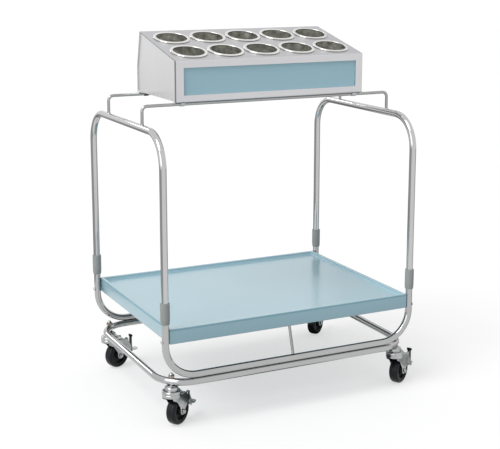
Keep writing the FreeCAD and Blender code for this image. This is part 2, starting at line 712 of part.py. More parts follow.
def caster_fork(label):
    """Pressed fork: a drum crown on the king pin, two plates down to the axle and ears for the brake pin."""
    fork = new_body(label)
    crown_r, bore = "crown_d / 2", "king_d / 2 + turn_fit"
    shoulder = f"-sqrt(({crown_r}) * ({crown_r}) - {FORK_HALF} * {FORK_HALF})"
    eye_low, eye_high = "wheel_r - fork_eye_r", "wheel_r + fork_eye_r"
    front, back = "trail - fork_eye_r", "trail + fork_eye_r"
    waist_z = f"{FORK_TOP} - 2 * fork_eye_r"
    ear_x = "brake_pin_x + fork_eye_r"
    plates = sketch_on(fork, "XZ_Plane", "plates")
    outline(plates, [
        (shoulder, FORK_TOP), (shoulder, f"{FORK_TOP} - fork_eye_r"), ("0", waist_z), (front, eye_high),
        (front, eye_low), (back, eye_low), (back, eye_high), (ear_x, "brake_pin_z - fork_eye_r"),
        (ear_x, FORK_TOP)])
    pad(fork, plates, "blank", f"2 * {FORK_HALF}")

    def eye(edge, middle):
        return close_to(middle.y, "0") and close_to(middle.z, eye_low)

    def ear(edge, middle):
        return close_to(middle.y, "0") and close_to(middle.x, ear_x)

    def sweep(edge, middle):
        waist = close_to(middle.z, eye_high) or close_to(middle.z, waist_z)
        return close_to(middle.y, "0") and waist and edge.Length > number("fork_gap")

    def fold(edge, middle):
        return close_to(abs(middle.y), FORK_HALF) and close_to(middle.z, FORK_TOP)

    round_edges(fork, "eyes", "fork_eye_r - slide_fit", eye)
    round_edges(fork, "ears", "lever_eye", ear)
    round_edges(fork, "sweeps", "fork_sweep_r", sweep)
    round_edges(fork, "folds", "fork_fold_r", fold)

    slot = sketch_on(fork, "YZ_Plane", "slot")
    rectangle(slot, "-fork_gap / 2", "0", "fork_gap / 2", CROWN_LOW)
    pocket(fork, slot, "wheel_slot")
    notch = sketch_on(fork, "XZ_Plane", "notch")
    rectangle(notch, "brake_pin_x - lever_notch", "wheel_r", "brake_pin_x + 4 * fork_eye_r", "caster_rise")
    pocket(fork, notch, "lever_notch", "fork_gap")

    crown = sketch_on(fork, "XZ_Plane", "crown")
    neck_z = f"{CROWN_TOP} - race_tall"
    skirt_r, skirt_z = f"{crown_r} - fork_plate", f"{CROWN_LOW} - fork_plate"
    race_r = "cap_d / 2 - sheet"
    outline(crown, [
        (bore, CROWN_LOW), (skirt_r, CROWN_LOW), (skirt_r, skirt_z), (crown_r, skirt_z), (crown_r, neck_z),
        (race_r, neck_z), (race_r, CROWN_TOP), (bore, CROWN_TOP)])
    drum = fork.newObject("PartDesign::Revolution", f"{label}_crown_turn")
    drum.Profile = crown
    drum.ReferenceAxis = (crown, ["V_Axis"])

    def drum_edge(edge, middle):
        return close_to(math.hypot(middle.x, middle.y), crown_r) and close_to(middle.z, neck_z)

    round_edges(fork, "drum_edge", "drum_edge_r", drum_edge)
    king = sketch_on(fork, "XY_Plane", "king")
    circle(king, "0", "0", bore)
    pocket(fork, king, "king_bore")
    axle = sketch_on(fork, "XZ_Plane", "axle")
    circle(axle, "trail", "wheel_r", "axle_d / 2 + slide_fit")
    pocket(fork, axle, "axle_bore")
    rivet = sketch_on(fork, "XZ_Plane", "rivet")
    circle(rivet, "brake_pin_x", "brake_pin_z", "brake_pin_d / 2")
    pad(fork, rivet, "brake_pin", f"2 * {FORK_HALF} + fork_plate")
    return fork


def wheel_axle(label):
    """Axle bolt with a hexagon head and a nut, seated on the fork plates."""
    end = f"({FORK_HALF} + seat_gap + axle_nut_tall + sheet)"
    axle = turned(label, [("0", f"-{end}"), ("axle_d / 2", f"-{end}"), ("axle_d / 2", end), ("0", end)],
                  "XY_Plane", level="wheel_r", across="trail")
    seat = f"({FORK_HALF} + seat_gap)"
    for name, level in (("nut", seat), ("head", f"-({seat} + axle_nut_tall)")):
        flats = sketch_on(axle, "XZ_Plane", name, level=level)
        hexagon(flats, "trail", "wheel_r", "axle_nut_corners / 2")
        pad(axle, flats, f"{name}_flats", "axle_nut_tall", symmetric=False)
    return axle


def wheel_hub(label):
    """Moulded hub: a boss on the axle, a web and a felloe that carries the tyre."""
    bore, boss = "axle_d / 2 + turn_fit", "hub_d / 2"
    rim = "(wheel_r - tyre_thick - slide_fit)"
    half, web, felloe = "hub_wide / 2", "web_thick / 2", "wheel_wide / 2 - sheet"
    edge = f"{rim} - felloe"
    side = [(bore, half), (boss, half), (boss, web), (edge, web), (edge, felloe), (rim, felloe)]
    mirrored = [(x, f"-({y})") for x, y in reversed(side)]
    return turned(label, side + mirrored, "XY_Plane", level="wheel_r", across="trail")


def wheel_tyre(label):
    inner = "wheel_r - tyre_thick"
    half = "wheel_wide / 2"
    tyre = turned(label, [(inner, f"-{half}"), ("wheel_r", f"-{half}"), ("wheel_r", half), (inner, half)],
                  "XY_Plane", level="wheel_r", across="trail")

    def shoulder(edge, middle):
        reach = math.hypot(middle.x - number("trail"), middle.z - number("wheel_r"))
        return close_to(abs(middle.y), half) and close_to(reach, "wheel_r")

    round_edges(tyre, "shoulders", "tyre_round", shoulder)
    return tyre


def brake_lever(label, with_tab):
    """Stamped lever on the fork's rivet: two cheeks, a back that meets the tyre and a curled foot pedal."""
    lever = new_body(label)
    back_low = "pedal_z"
    cheeks = sketch_on(lever, "XZ_Plane", "cheeks")
    eye_top = "brake_pin_z + lever_eye"
    back_x = "lever_back_x + lever_plate"
    outline(cheeks, [
        ("brake_pin_x - lever_eye", eye_top), ("brake_pin_x + lever_eye", eye_top),
        (back_x, f"{back_low} + 2 * lever_eye"), (back_x, back_low),
        ("lever_back_x - lever_eye", back_low), ("brake_pin_x - lever_eye", "brake_pin_z - lever_eye")])
    pad(lever, cheeks, "blank", "lever_wide")

    def eye(edge, middle):
        return close_to(middle.y, "0") and middle.x < number("brake_pin_x + 2 * lever_eye")

    round_edges(lever, "eyes", "lever_eye - slide_fit", eye)
    channel = sketch_on(lever, "XZ_Plane", "channel")
    rectangle(channel, "0", f"{back_low} - lever_eye", "lever_back_x", "caster_rise")
    pocket(lever, channel, "fold", "lever_wide - 2 * lever_plate")
    bore = sketch_on(lever, "XZ_Plane", "bore")
    circle(bore, "brake_pin_x", "brake_pin_z", "brake_pin_d / 2 + turn_fit")
    pocket(lever, bore, "pin_bore")

    pedal = sketch_on(lever, "XZ_Plane", "pedal")
    toe = "lever_back_x + pedal_reach"
    outline(pedal, [
        ("lever_back_x", f"{back_low} + lever_plate"), (toe, f"{back_low} + lever_plate - pedal_drop"),
        (f"{toe} + pedal_curl", f"{back_low} + pedal_curl - pedal_drop"),
        (f"{toe} + pedal_curl + lever_plate", f"{back_low} + pedal_curl - pedal_drop - lever_plate"),
        (f"{toe} + lever_plate / 2", f"{back_low} - pedal_drop"), ("lever_back_x", back_low)])
    pad(lever, pedal, "pedal_plate", "pedal_wide")

    if with_tab:
        tab = sketch_on(lever, "XZ_Plane", "tab", level="tab_side")
        rectangle(tab, "lever_back_x", back_low, back_x, "tab_top")
        pad(lever, tab, "lock_tab", "tab_wide", symmetric=False)
    return lever


def lock_tip(label):
    """Plastic cap pushed on the upright tab of a brake lever."""
    tip = new_body(label)
    wall = "tip_wall"
    left, right = "lever_back_x", "lever_back_x + lever_plate"
    block = sketch_on(tip, "XZ_Plane", "block", level=f"tab_side - {wall}")
    top = f"tab_top + {wall}"
    rectangle(block, f"{left} - {wall}", f"{top} - tip_long", f"{right} + {wall}", top)
    pad(tip, block, "cap", f"tab_wide + 2 * {wall}", symmetric=False)
    slot = sketch_on(tip, "XZ_Plane", "slot", level="tab_side - slide_fit")
    rectangle(slot, f"{left} - slide_fit", "wheel_r", f"{right} + slide_fit", "tab_top + slide_fit")
    pocket(tip, slot, "push_fit", "tab_wide + 2 * slide_fit", symmetric=False, back=True)
    return tip


def casters():
    nuts = []
    for corner, (x, y) in CORNERS.items():
        tabbed = corner in LOCK_TAB_CORNERS
        pieces = [
            caster_stem(f"{corner}_caster_stem"),
            caster_fork(f"{corner}_fork"),
            wheel_axle(f"{corner}_axle"),
            wheel_hub(f"{corner}_wheel_hub"),
            wheel_tyre(f"{corner}_tyre"),
            brake_lever(f"{corner}_brake_lever", tabbed),
        ]
        if tabbed:
            pieces.append(lock_tip(f"{corner}_lock_tip"))
        nodes.extend(pieces)
        nuts.append(stem_nut(f"{corner}_stem_nut"))
        for piece in pieces + nuts[-1:]:
            place(piece, signed(x, STEM_X), signed(y, STEM_Y), angle=f"swivel_{corner}")
    group("stem_nuts", nuts)


base_hoop()
lower_u("front_lower_u", -1)
lower_u("rear_lower_u", 1)
handle_hoop("left_handle_hoop", -1)
handle_hoop("right_handle_hoop", 1)
tube_joints()
shelf_pan()
shelf_support()
console_rod("front_console_rod", -1)
console_rod("rear_console_rod", 1)
console_clips()
console_shell()
console_panels()
flatware_cylinders()
casters()
doc.recompute()

failed = [thing.Name for thing in doc.Objects if {"Invalid", "Error"} & set(thing.State)]
for node in nodes:
    if node.Shape.isNull() or not node.Shape.isValid() or not node.Shape.Solids:
        failed.append(node.Label)
if failed:
    raise RuntimeError(f"these did not build: {sorted(set(failed))}")

os.makedirs("parts", exist_ok=True)
for node in nodes:
    node.Shape.exportStep(f"parts/{node.Label}.step")
print(f"{len(nodes)} nodes written")
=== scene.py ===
"""Looks of the flatware and tray cart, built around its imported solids.

Lengths in this script are millimetres until a piece's mesh is written in metres. +X is to the right, +Y to
the rear and +Z up, with the origin on the floor under the middle of the frame.
"""

import json
import math

import bmesh
import bpy
import numpy as np
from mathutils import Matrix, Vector


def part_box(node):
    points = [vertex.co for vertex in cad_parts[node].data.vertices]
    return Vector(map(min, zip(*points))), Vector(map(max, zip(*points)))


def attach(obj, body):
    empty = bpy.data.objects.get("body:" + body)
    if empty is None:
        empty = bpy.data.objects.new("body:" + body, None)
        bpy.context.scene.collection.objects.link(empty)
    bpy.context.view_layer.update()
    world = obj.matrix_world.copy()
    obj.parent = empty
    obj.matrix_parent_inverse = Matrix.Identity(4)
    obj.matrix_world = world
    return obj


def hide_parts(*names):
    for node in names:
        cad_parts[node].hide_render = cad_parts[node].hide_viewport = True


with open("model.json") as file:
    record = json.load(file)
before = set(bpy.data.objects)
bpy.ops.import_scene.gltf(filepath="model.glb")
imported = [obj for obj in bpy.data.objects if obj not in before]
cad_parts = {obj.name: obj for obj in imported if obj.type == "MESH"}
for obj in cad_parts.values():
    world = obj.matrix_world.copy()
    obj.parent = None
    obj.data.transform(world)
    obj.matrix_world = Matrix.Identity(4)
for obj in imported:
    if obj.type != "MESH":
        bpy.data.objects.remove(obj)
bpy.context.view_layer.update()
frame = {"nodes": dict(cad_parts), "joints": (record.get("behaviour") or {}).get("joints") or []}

# Tube frame
# A level hoop, two lower U tubes and two handle hoops of thin-walled steel tube, bent cold on one former and
# chromed. The U tubes are welded to the hoop, and the handle hoops plug into their legs.
MM = 0.001
SEAM = 0.01
SHARP = math.radians(35)
X_AXIS, Y_AXIS, Z_AXIS = np.eye(3)


def box_mm(node):
    """Lowest and highest corner of a solid, in millimetres."""
    low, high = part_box(node)
    return np.array(low) / MM, np.array(high) / MM


def unit(vectors):
    return vectors / np.linalg.norm(vectors, axis=-1, keepdims=True)


def bent_path(corners, radius, steps=14, closed=False):
    """Points and headings along straight runs with rounded corners.

    At a corner C between headings d and e with turn t, the arc starts at C - d r tan(t / 2), and its point at
    angle a is start + r (d sin a + n (1 - cos a)), where n is the part of e square to d.
    """
    corners = np.asarray(corners, float)
    headings = unit(np.roll(corners, -1, axis=0) - corners)
    bends = range(len(corners)) if closed else range(1, len(corners) - 1)
    points, directions = [], []
    if not closed:
        points.append(corners[:1])
        directions.append(headings[:1])
    radius = np.broadcast_to(radius, len(corners))
    for k in bends:
        d, e, r = headings[k - 1], headings[k], radius[k]
        turn = math.acos(np.clip(d @ e, -1, 1))
        n = unit(e - d * (d @ e))
        a = np.linspace(0, turn, steps + 1)[:, None]
        start = corners[k] - d * r * math.tan(turn / 2)
        points.append(start + r * (d * np.sin(a) + n * (1 - np.cos(a))))
        directions.append(d * np.cos(a) + n * np.sin(a))
    if not closed:
        points.append(corners[-1:])
        directions.append(headings[-2:-1])
    return np.concatenate(points), np.concatenate(directions)


def quads(grid, rows_close=False, columns_close=False):
    """Vertices and four-sided faces of a grid of points; either direction may close on itself."""
    rows, columns = grid.shape[:2]
    i = np.arange(rows if rows_close else rows - 1)[:, None]
    j = np.arange(columns if columns_close else columns - 1)[None, :]
    i_next, j_next = (i + 1) % rows, (j + 1) % columns
    corner = [i * columns + j, i_next * columns + j, i_next * columns + j_next, i * columns + j_next]
    return grid.reshape(-1, 3), np.stack(corner, -1).reshape(-1, 4).tolist()


def tube(path, headings, normal, radius, sides=36, closed=False):
    """A round bar along a flat path: path + r (normal cos a + side sin a), with flat ends if it is open."""
    side = np.cross(headings, normal)
    a = np.linspace(0, 2 * math.pi, sides, endpoint=False)[None, :, None]
    ring = radius * (normal * np.cos(a) + side[:, None] * np.sin(a))
    grid = path[:, None] + ring
    if not closed:
        ends = [np.repeat(path[k:k + 1, None], sides, axis=1) for k in (0, -1)]
        grid = np.concatenate([ends[0], grid, ends[1]])
    return quads(grid, rows_close=closed, columns_close=True)


def piece(name, parts, finish, body, slot, *nodes):
    """One object from parts of (vertices, faces): joined, seams closed, smooth where it turns gently."""
    vertices, faces, count = [], [], 0
    for part_vertices, part_faces in parts:
        vertices.append(part_vertices)
        faces += [[index + count for index in face] for face in part_faces]
        count += len(part_vertices)
    mesh = bpy.data.meshes.new(name)
    mesh.from_pydata((np.concatenate(vertices) * MM).tolist(), [], faces)
    work = bmesh.new()
    work.from_mesh(mesh)
    bmesh.ops.remove_doubles(work, verts=work.verts, dist=SEAM * MM)
    bmesh.ops.dissolve_degenerate(work, edges=work.edges, dist=SEAM * MM)
    bmesh.ops.recalc_face_normals(work, faces=work.faces)
    work.to_mesh(mesh)
    work.free()
    mesh.shade_smooth()
    mesh.set_sharp_from_angle(angle=SHARP)
    mesh.materials.append(finish)
    made = bpy.data.objects.new(name, mesh)
    bpy.context.scene.collection.objects.link(made)
    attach(made, body)
    if nodes:
        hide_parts(*nodes)
    return made


class Wire:
    """A socket of a node tree that can stand in sums; each operation adds a Math node."""

    def __init__(self, tree, socket=None):
        self.tree = tree
        self.socket = socket

    def node(self, kind, settings, out, **values):
        """Any node: its settings first, then the values or links of its sockets; gives one of its outputs."""
        made = self.tree.nodes.new("ShaderNode" + kind)
        for key, value in settings.items():
            if key == "stops":
                for element, (position, colour) in zip(made.color_ramp.elements, value):
                    element.position = position
                    element.color = colour
            else:
                setattr(made, key, value)
        for key, value in values.items():
            socket = made.inputs[int(key[1:]) if key[0] == "_" else key.replace("_", " ")]
            if isinstance(value, Wire):
                self.tree.links.new(value.socket, socket)
            else:
                socket.default_value = value
        return Wire(self.tree, made.outputs[out])

    def math(self, operation, first, second=0.0):
        return self.node("Math", {"operation": operation}, 0, _0=first, _1=second)

    def __add__(self, other):
        return self.math("ADD", self, other)

    def __sub__(self, other):
        return self.math("SUBTRACT", self, other)

    def __rsub__(self, other):
        return self.math("SUBTRACT", other, self)

    def __mul__(self, other):
        return self.math("MULTIPLY", self, other)

    __radd__ = __add__
    __rmul__ = __mul__

    def noise(self, place, scale, detail=3.0, rough=0.55):
        return self.node("TexNoise", {}, "Fac", Vector=place, Scale=scale, Detail=detail, Roughness=rough)

    def stretched(self, place, factors):
        """The coordinates multiplied axis by axis, so that a pattern is drawn out along one of them."""
        return self.node("VectorMath", {"operation": "MULTIPLY"}, 0, _0=place, _1=factors)

    def between(self, factor, first, second):
        """A colour mixed from two by a factor; either of them may be a wire."""
        first, second = (c if isinstance(c, Wire) else (*c, 1) for c in (first, second))
        return self.node("Mix", {"data_type": "RGBA"}, 2, _0=factor, _6=first, _7=second)

    def bump(self, height, strength, distance):
        return self.node("Bump", {}, 0, Strength=strength, Distance=distance, Height=height)


def new_finish(name, **fixed):
    """A material, a loose wire in its tree, its object coordinates and a setter of its shader's sockets."""
    made = bpy.data.materials.new(name)
    made.use_nodes = True
    tree = made.node_tree
    shader = tree.nodes["Principled BSDF"]
    wire = Wire(tree)

    def feed(**values):
        for key, value in values.items():
            socket = shader.inputs[key.replace("_", " ")]
            if isinstance(value, Wire):
                tree.links.new(value.socket, socket)
            else:
                socket.default_value = value

    feed(**fixed)
    return made, wire, wire.node("TexCoord", {}, "Object"), feed


def plated(name, light, dark, rough_low, rough_high, ripple, patch=9.0):
    """Bright plating: nearly even grey, faint cloudy wipe marks in the gloss and a very slight ripple."""
    made, wire, place, feed = new_finish(name, Metallic=1.0)
    cloud = wire.noise(place, patch, 4.0)
    fine = wire.noise(place, 160.0, 2.0)
    feed(
        Base_Color=wire.between(cloud, light, dark),
        Roughness=cloud * (rough_high - rough_low) + fine * 0.03 + rough_low,
        Normal=wire.bump(fine, ripple, 0.0002),
    )
    return made


chrome = plated("chrome_plate", (0.565, 0.565, 0.56), (0.49, 0.495, 0.495), 0.04, 0.10, 0.05)
# The base hoop and the lower U tubes get a darker copy of the chrome: painted shade.
low_tube_shaded_chrome = plated("low_tube_shaded_chrome", (0.48, 0.482, 0.48), (0.41, 0.415, 0.415), 0.05, 0.12, 0.05)

ring_low, ring_high = box_mm("base_ring")
hoop_low, hoop_high = box_mm("left_handle_hoop")
u_low = box_mm("front_lower_u")[0]
tube_r = (hoop_high[0] - hoop_low[0]) / 2
tube_bend_r = 100.0
frame_x = ring_high[0] - tube_r
frame_y = ring_high[1] - tube_r
ring_z = (ring_low[2] + ring_high[2]) / 2
lower_u_z = u_low[2] + tube_r
joint_z = hoop_low[2]
handle_z = hoop_high[2] - tube_r

plan = [(-frame_x, -frame_y), (frame_x, -frame_y), (frame_x, frame_y), (-frame_x, frame_y)]
run = bent_path([(x, y, ring_z) for x, y in plan], tube_bend_r, closed=True)
hoop = tube(*run, Z_AXIS, tube_r, closed=True)
piece("base_hoop", [hoop], low_tube_shaded_chrome, "frame", "chrome_tube", "base_ring")

for side, y in (("front", -frame_y), ("rear", frame_y)):
    drop = [(-frame_x, joint_z), (-frame_x, lower_u_z), (frame_x, lower_u_z), (frame_x, joint_z)]
    run = bent_path([(x, y, z) for x, z in drop], tube_bend_r)
    node = f"{side}_lower_u"
    piece(f"{side}_u_tube", [tube(*run, Y_AXIS, tube_r)], low_tube_shaded_chrome, "frame", "chrome_tube", node)

for side, x in (("left", -frame_x), ("right", frame_x)):
    rise = [(-frame_y, joint_z), (-frame_y, handle_z), (frame_y, handle_z), (frame_y, joint_z)]
    run = bent_path([(x, y, z) for y, z in rise], tube_bend_r)
    node = f"{side}_handle_hoop"
    piece(f"{side}_handle_tube", [tube(*run, X_AXIS, tube_r)], chrome, "frame", "chrome_tube", node)

# Collars
# A grey moulded sleeve covers each joint between a lower U tube and a handle hoop. Its lower end is drawn in
# to the tube, its upper end is cut square, and it is pushed on before the tubes are joined.
collar_edge = 2.2
collar_taper = 13.0
collar_round = 0.45
collar_fit = 0.1


def turned(profile, base, axis, across, sides=48, closed=False):
    """A profile of (radius, height) turned about an axis: base + axis h + r (across cos a + side sin a)."""
    profile = np.asarray(profile, float)
    a = np.linspace(0, 2 * math.pi, sides, endpoint=False)[None, :, None]
    around = across * np.cos(a) + np.cross(axis, across) * np.sin(a)
    grid = base + profile[:, 1, None, None] * axis + profile[:, 0, None, None] * around
    return quads(grid, rows_close=closed, columns_close=True)


def softened(corners, radius, steps=5, closed=True):
    """A flat outline with every corner rounded."""
    flat = [(x, y, 0.0) for x, y in corners]
    return bent_path(flat, radius, steps, closed)[0][:, :2]


collar_plastic, wire, place, feed = new_finish("collar_plastic", Specular_IOR_Level=0.4)
grain = wire.noise(place, 900.0, 2.0)
cloud = wire.noise(place, 40.0, 3.0)
feed(
    Base_Color=wire.between(cloud, (0.280, 0.306, 0.302), (0.324, 0.346, 0.341)),
    Roughness=grain * 0.12 + 0.42,
    Normal=wire.bump(grain, 0.12, 0.0003),
)

for corner in ("front_left", "front_right", "rear_left", "rear_right"):
    low, high = box_mm(f"{corner}_collar")
    outer, inner = (high[0] - low[0]) / 2, tube_r + collar_fit
    length = high[2] - low[2]
    sleeve = softened(
        [
            (inner, 0), (inner + collar_edge, 0), (outer, collar_taper),
            (outer, length), (inner, length),
        ],
        collar_round,
    )
    base = np.array([(low[0] + high[0]) / 2, (low[1] + high[1]) / 2, low[2]])
    piece(f"{corner}_sleeve", [turned(sleeve, base, Z_AXIS, X_AXIS, closed=True)], collar_plastic, "frame",
          "collar_plastic", f"{corner}_collar")

# Shelf pan
# One sheet of steel pressed to a shallow pan: sunk floor, rolled rim, deep skirt and a hem folded in below.
# It is finished in baked light blue enamel and held to the uprights by four bolts along X.
shelf_low, shelf_high = box_mm("shelf_pan")
shelf_sheet = 1.5
shelf_sink = 10.0
shelf_rim = 12.0
shelf_hem = 14.0
shelf_round, shelf_hollow, hem_round = 2.5, 7.0, 0.9
shelf_corner_r = 4.0
shelf_inside = (60.0, 150.0, 240.0)
roll_dark, roll_light, roll_tall = 4.0, 7.0, 2.0


def rectangle_loops(half_x, half_y, insets, heights, corner_r, steps=6, side_steps=10):
    """Loops round a rectangle, each moved in by its own inset and raised to its own height.

    A loop is four straight sides and four quarter circles; its corner radius shrinks with what room is left.
    """
    insets, heights = np.asarray(insets)[:, None], np.asarray(heights)[:, None]
    r = np.minimum(corner_r, np.minimum(half_x, half_y) - insets)
    x, y = half_x - insets - r, half_y - insets - r
    t = np.linspace(-1, 1, side_steps + 1)[None, :]
    a = np.linspace(0, math.pi / 2, steps + 1)[None, 1:-1]
    xs = [x * t, x + r * np.sin(a), (x + r) + 0 * t, x + r * np.cos(a)]
    ys = [-(y + r) + 0 * t, -y - r * np.cos(a), y * t, y + r * np.sin(a)]
    xs = np.concatenate(xs + [-part for part in xs], axis=1)
    ys = np.concatenate(ys + [-part for part in ys], axis=1)
    return np.stack([xs, ys, heights + 0 * xs], -1)


half_x, half_y = shelf_high[0], shelf_high[1]
enamel, wire, place, feed = new_finish("blue_enamel", Specular_IOR_Level=0.5, Coat_Roughness=0.20)
cloud = wire.noise(place, 3.5, 4.0)
peel = wire.noise(place, 420.0, 2.0)
speck = wire.noise(place, 60.0, 5.0)
x, y, z = (wire.node("SeparateXYZ", {}, axis, Vector=place) for axis in "XYZ")
from_end = half_x * MM - wire.math("ABSOLUTE", x)
from_side = half_y * MM - wire.math("ABSOLUTE", y)
inset = wire.math("MINIMUM", from_end, from_side)
below = shelf_high[2] * MM - z
reach = wire.math("SQRT", inset * inset * roll_tall ** 2 + below * below)
# A dark band is painted along the outside of the rolled rim, with duller gloss there: painted shade and a
# painted dark reflection.
painted_roll_shade = wire.node("MapRange", {"interpolation_type": "SMOOTHSTEP"}, 0, Value=reach,
                    From_Min=roll_dark * MM, From_Max=roll_light * MM, To_Min=1.0, To_Max=0.0)
blue = wire.between(cloud, (0.260, 0.452, 0.534), (0.284, 0.480, 0.563))
feed(
    Base_Color=wire.between(painted_roll_shade * 0.40, blue, (0.06, 0.19, 0.25)),
    Roughness=speck * 0.10 + painted_roll_shade * 0.25 + 0.26,
    Coat_Weight=0.95 - painted_roll_shade * 0.55,
    Normal=wire.bump(peel, 0.06, 0.0004),
)

deep = shelf_high[2] - shelf_low[2]
outside = [
    (shelf_rim, -shelf_sink), (shelf_rim, 0.0), (0.0, 0.0), (0.0, -deep), (shelf_hem, -deep),
]
inside = [
    (shelf_hem, shelf_sheet - deep), (shelf_sheet, shelf_sheet - deep), (shelf_sheet, -shelf_sheet),
    (shelf_rim - shelf_sheet, -shelf_sheet), (shelf_rim - shelf_sheet, -shelf_sink - shelf_sheet),
]
top_lines = [(half_y, -shelf_sink), *[(d, -shelf_sink) for d in reversed(shelf_inside)]]
under_lines = [(d, -shelf_sink - shelf_sheet) for d in (*shelf_inside, half_y)]
rounds_over = [0, shelf_hollow, *[shelf_round] * 4, 0]
rounds_under = [0, *[hem_round] * 4, shelf_hollow + shelf_sheet, 0]
rolled = softened([top_lines[-1], *outside, inside[0]], rounds_over, closed=False)
rolled_under = softened([outside[-1], *inside, under_lines[0]], rounds_under, closed=False)
section = np.concatenate([top_lines[:-1], rolled[:-1], rolled_under[1:], under_lines[1:]])
loops = rectangle_loops(half_x, half_y, section[:, 0], shelf_high[2] + section[:, 1], shelf_corner_r)
piece("blue_shelf", [quads(loops, columns_close=True)], enamel, "frame", "shelf_enamel", "shelf_pan")

bolt_low, bolt_high = box_mm("shelf_bolts")
bolt_r, bolt_long, bolt_gap = 3.0, 36.0, 0.1
bolt_head_r, bolt_head, bolt_edge = 6.0, 4.0, 0.9
dome = np.linspace(0, math.pi / 2, 7)
bolt = [
    (0, -bolt_long), (bolt_r, -bolt_long), (bolt_r, bolt_gap), (bolt_head_r, bolt_gap),
    (bolt_head_r, bolt_edge),
    *zip(bolt_head_r * np.cos(dome), bolt_edge + (bolt_head - bolt_edge) * np.sin(dome)),
]
bolt_z = (bolt_low[2] + bolt_high[2]) / 2
bolts = [
    turned(bolt, np.array([sign * (frame_x + tube_r), y, bolt_z]), sign * X_AXIS, Z_AXIS, 24)
    for sign in (-1, 1) for y in (-frame_y, frame_y)
]
piece("shelf_bolt_heads", bolts, chrome, "frame", "chrome_tube", "shelf_bolts")

# Support rod
# A plain chromed rod bent at both ends, welded with its feet on the two lower U tubes so that its level run
# bears under the middle of the shelf. Its plating is given a darker grey than that of the tubes.
rod_low, rod_high = box_mm("shelf_support_rod")
strut_r = (rod_high[0] - rod_low[0]) / 2
strut_bend_r = 25.0
strut_steel = plated("dark_rod", (0.30, 0.298, 0.29), (0.24, 0.24, 0.235), 0.08, 0.16, 0.05)
strut_lean = math.radians(17)
strut_top = rod_high[2] - strut_r
strut_foot = rod_low[2] + strut_r * math.sin(strut_lean)
strut_y = frame_y - (strut_top - strut_foot) * math.tan(strut_lean)
weld_high, weld_wide, weld_lap = 4.5, 2.6, 0.3
strut_drop, strut_sink = 0.8, 1.6


def weld_bead(foot, up, across, rod_r, sink):
    """A weld round the foot of a rod: a hollow fillet from the rod's skin out to the tube it stands on."""
    t = np.linspace(0, 1, 7)
    inner = rod_r - weld_lap
    flare = np.stack([inner + (weld_wide + weld_lap) * t ** 2.2, weld_high * (1 - t) ** 1.6 - sink * t], -1)
    return turned(np.concatenate([flare, [(inner, -sink)]]), foot, up, across, 28, closed=True)


legs = [(-frame_y, strut_foot), (-strut_y, strut_top), (strut_y, strut_top), (frame_y, strut_foot)]
run = bent_path([(0, y, z) for y, z in legs], strut_bend_r)
strut = [tube(*run, X_AXIS, strut_r, 24)]
for sign in (-1, 1):
    lean = np.array([0, -sign * math.sin(strut_lean), math.cos(strut_lean)])
    foot = np.array([0, sign * frame_y, strut_foot - strut_drop])
    strut.append(weld_bead(foot, lean, X_AXIS, strut_r, strut_sink))
piece("support_rod", strut, strut_steel, "frame", "chrome_tube", "shelf_support_rod")

# Console rods
# Two thin chromed rods span the handle hoops. Each is cranked up at both ends, welded on top of the hoops,
# and carries the console's bottom flanges in two saddle clips.
rod_bend_r, rod_sink = 16.0, 2.6
rod_steel = plated("dull_rod", (0.40, 0.398, 0.39), (0.33, 0.33, 0.325), 0.06, 0.14, 0.05)
for side in ("front", "rear"):
    low, high = box_mm(f"{side}_console_rod")
    rod_r = (high[1] - low[1]) / 2
    y = (low[1] + high[1]) / 2
    crank = [(-frame_x, low[2]), (-frame_x, high[2] - rod_r), (frame_x, high[2] - rod_r), (frame_x, low[2])]
    run = bent_path([(x, y, z) for x, z in crank], rod_bend_r, 10)
    rod = [tube(*run, Y_AXIS, rod_r, 24)]
    feet = [np.array([x, y, low[2]]) for x in (-frame_x, frame_x)]
    rod += [weld_bead(foot, Z_AXIS, X_AXIS, rod_r, rod_sink) for foot in feet]
    piece(f"{side}_crank_rod", rod, rod_steel, "frame", "chrome_tube", f"{side}_console_rod")


def dull_paint(name, dark, light):
    """Thin dull paint, with fine specks in its colour, gloss and skin."""
    made, wire, place, feed = new_finish(name)
    speck = wire.noise(place, 300.0, 3.0)
    feed(
        Base_Color=wire.between(speck, dark, light),
        Roughness=speck * 0.2 + 0.35,
        Normal=wire.bump(speck, 0.1, 0.0003),
    )
    return made


def dress(finish, *nodes):
    """Give solids that show as they are their finish."""
    for node in nodes:
        materials = frame["nodes"][node].data.materials
        materials.clear()
        materials.append(finish)


clip_paint = dull_paint("clip_paint", (0.035, 0.035, 0.038), (0.065, 0.065, 0.070))
zinc = plated("zinc_plate", (0.66, 0.675, 0.675), (0.19, 0.215, 0.21), 0.06, 0.20, 0.12, 38.0)
dress(zinc, "front_console_clips")
dress(clip_paint, "rear_console_clips")

# Console
# Folded from satin stainless sheet: front, sloped top, back and bottom flanges in one piece, with an end
# panel let into each side and a blue enamelled panel behind the window of the front.
console_low, console_high = box_mm("console_shell")
console_front = 127.0
slope = math.radians(13.4)
slope_skin = 0.7
slope_normal = (0.0, -math.sin(slope), math.cos(slope))
mouth_level = (console_low[2] + console_front) * math.cos(slope) - console_low[1] * math.sin(slope)

satin, wire, place, feed = new_finish("satin_sheet", Metallic=1.0)
lines = wire.noise(wire.stretched(place, (6.0, 700.0, 700.0)), 1.0, 3.0, 0.6)
cloud = wire.noise(place, 5.0, 4.0)
height = wire.node("VectorMath", {"operation": "DOT_PRODUCT"}, 1, _0=place, _1=slope_normal)
on_slope = wire.math("GREATER_THAN", height, (mouth_level - slope_skin) * MM)
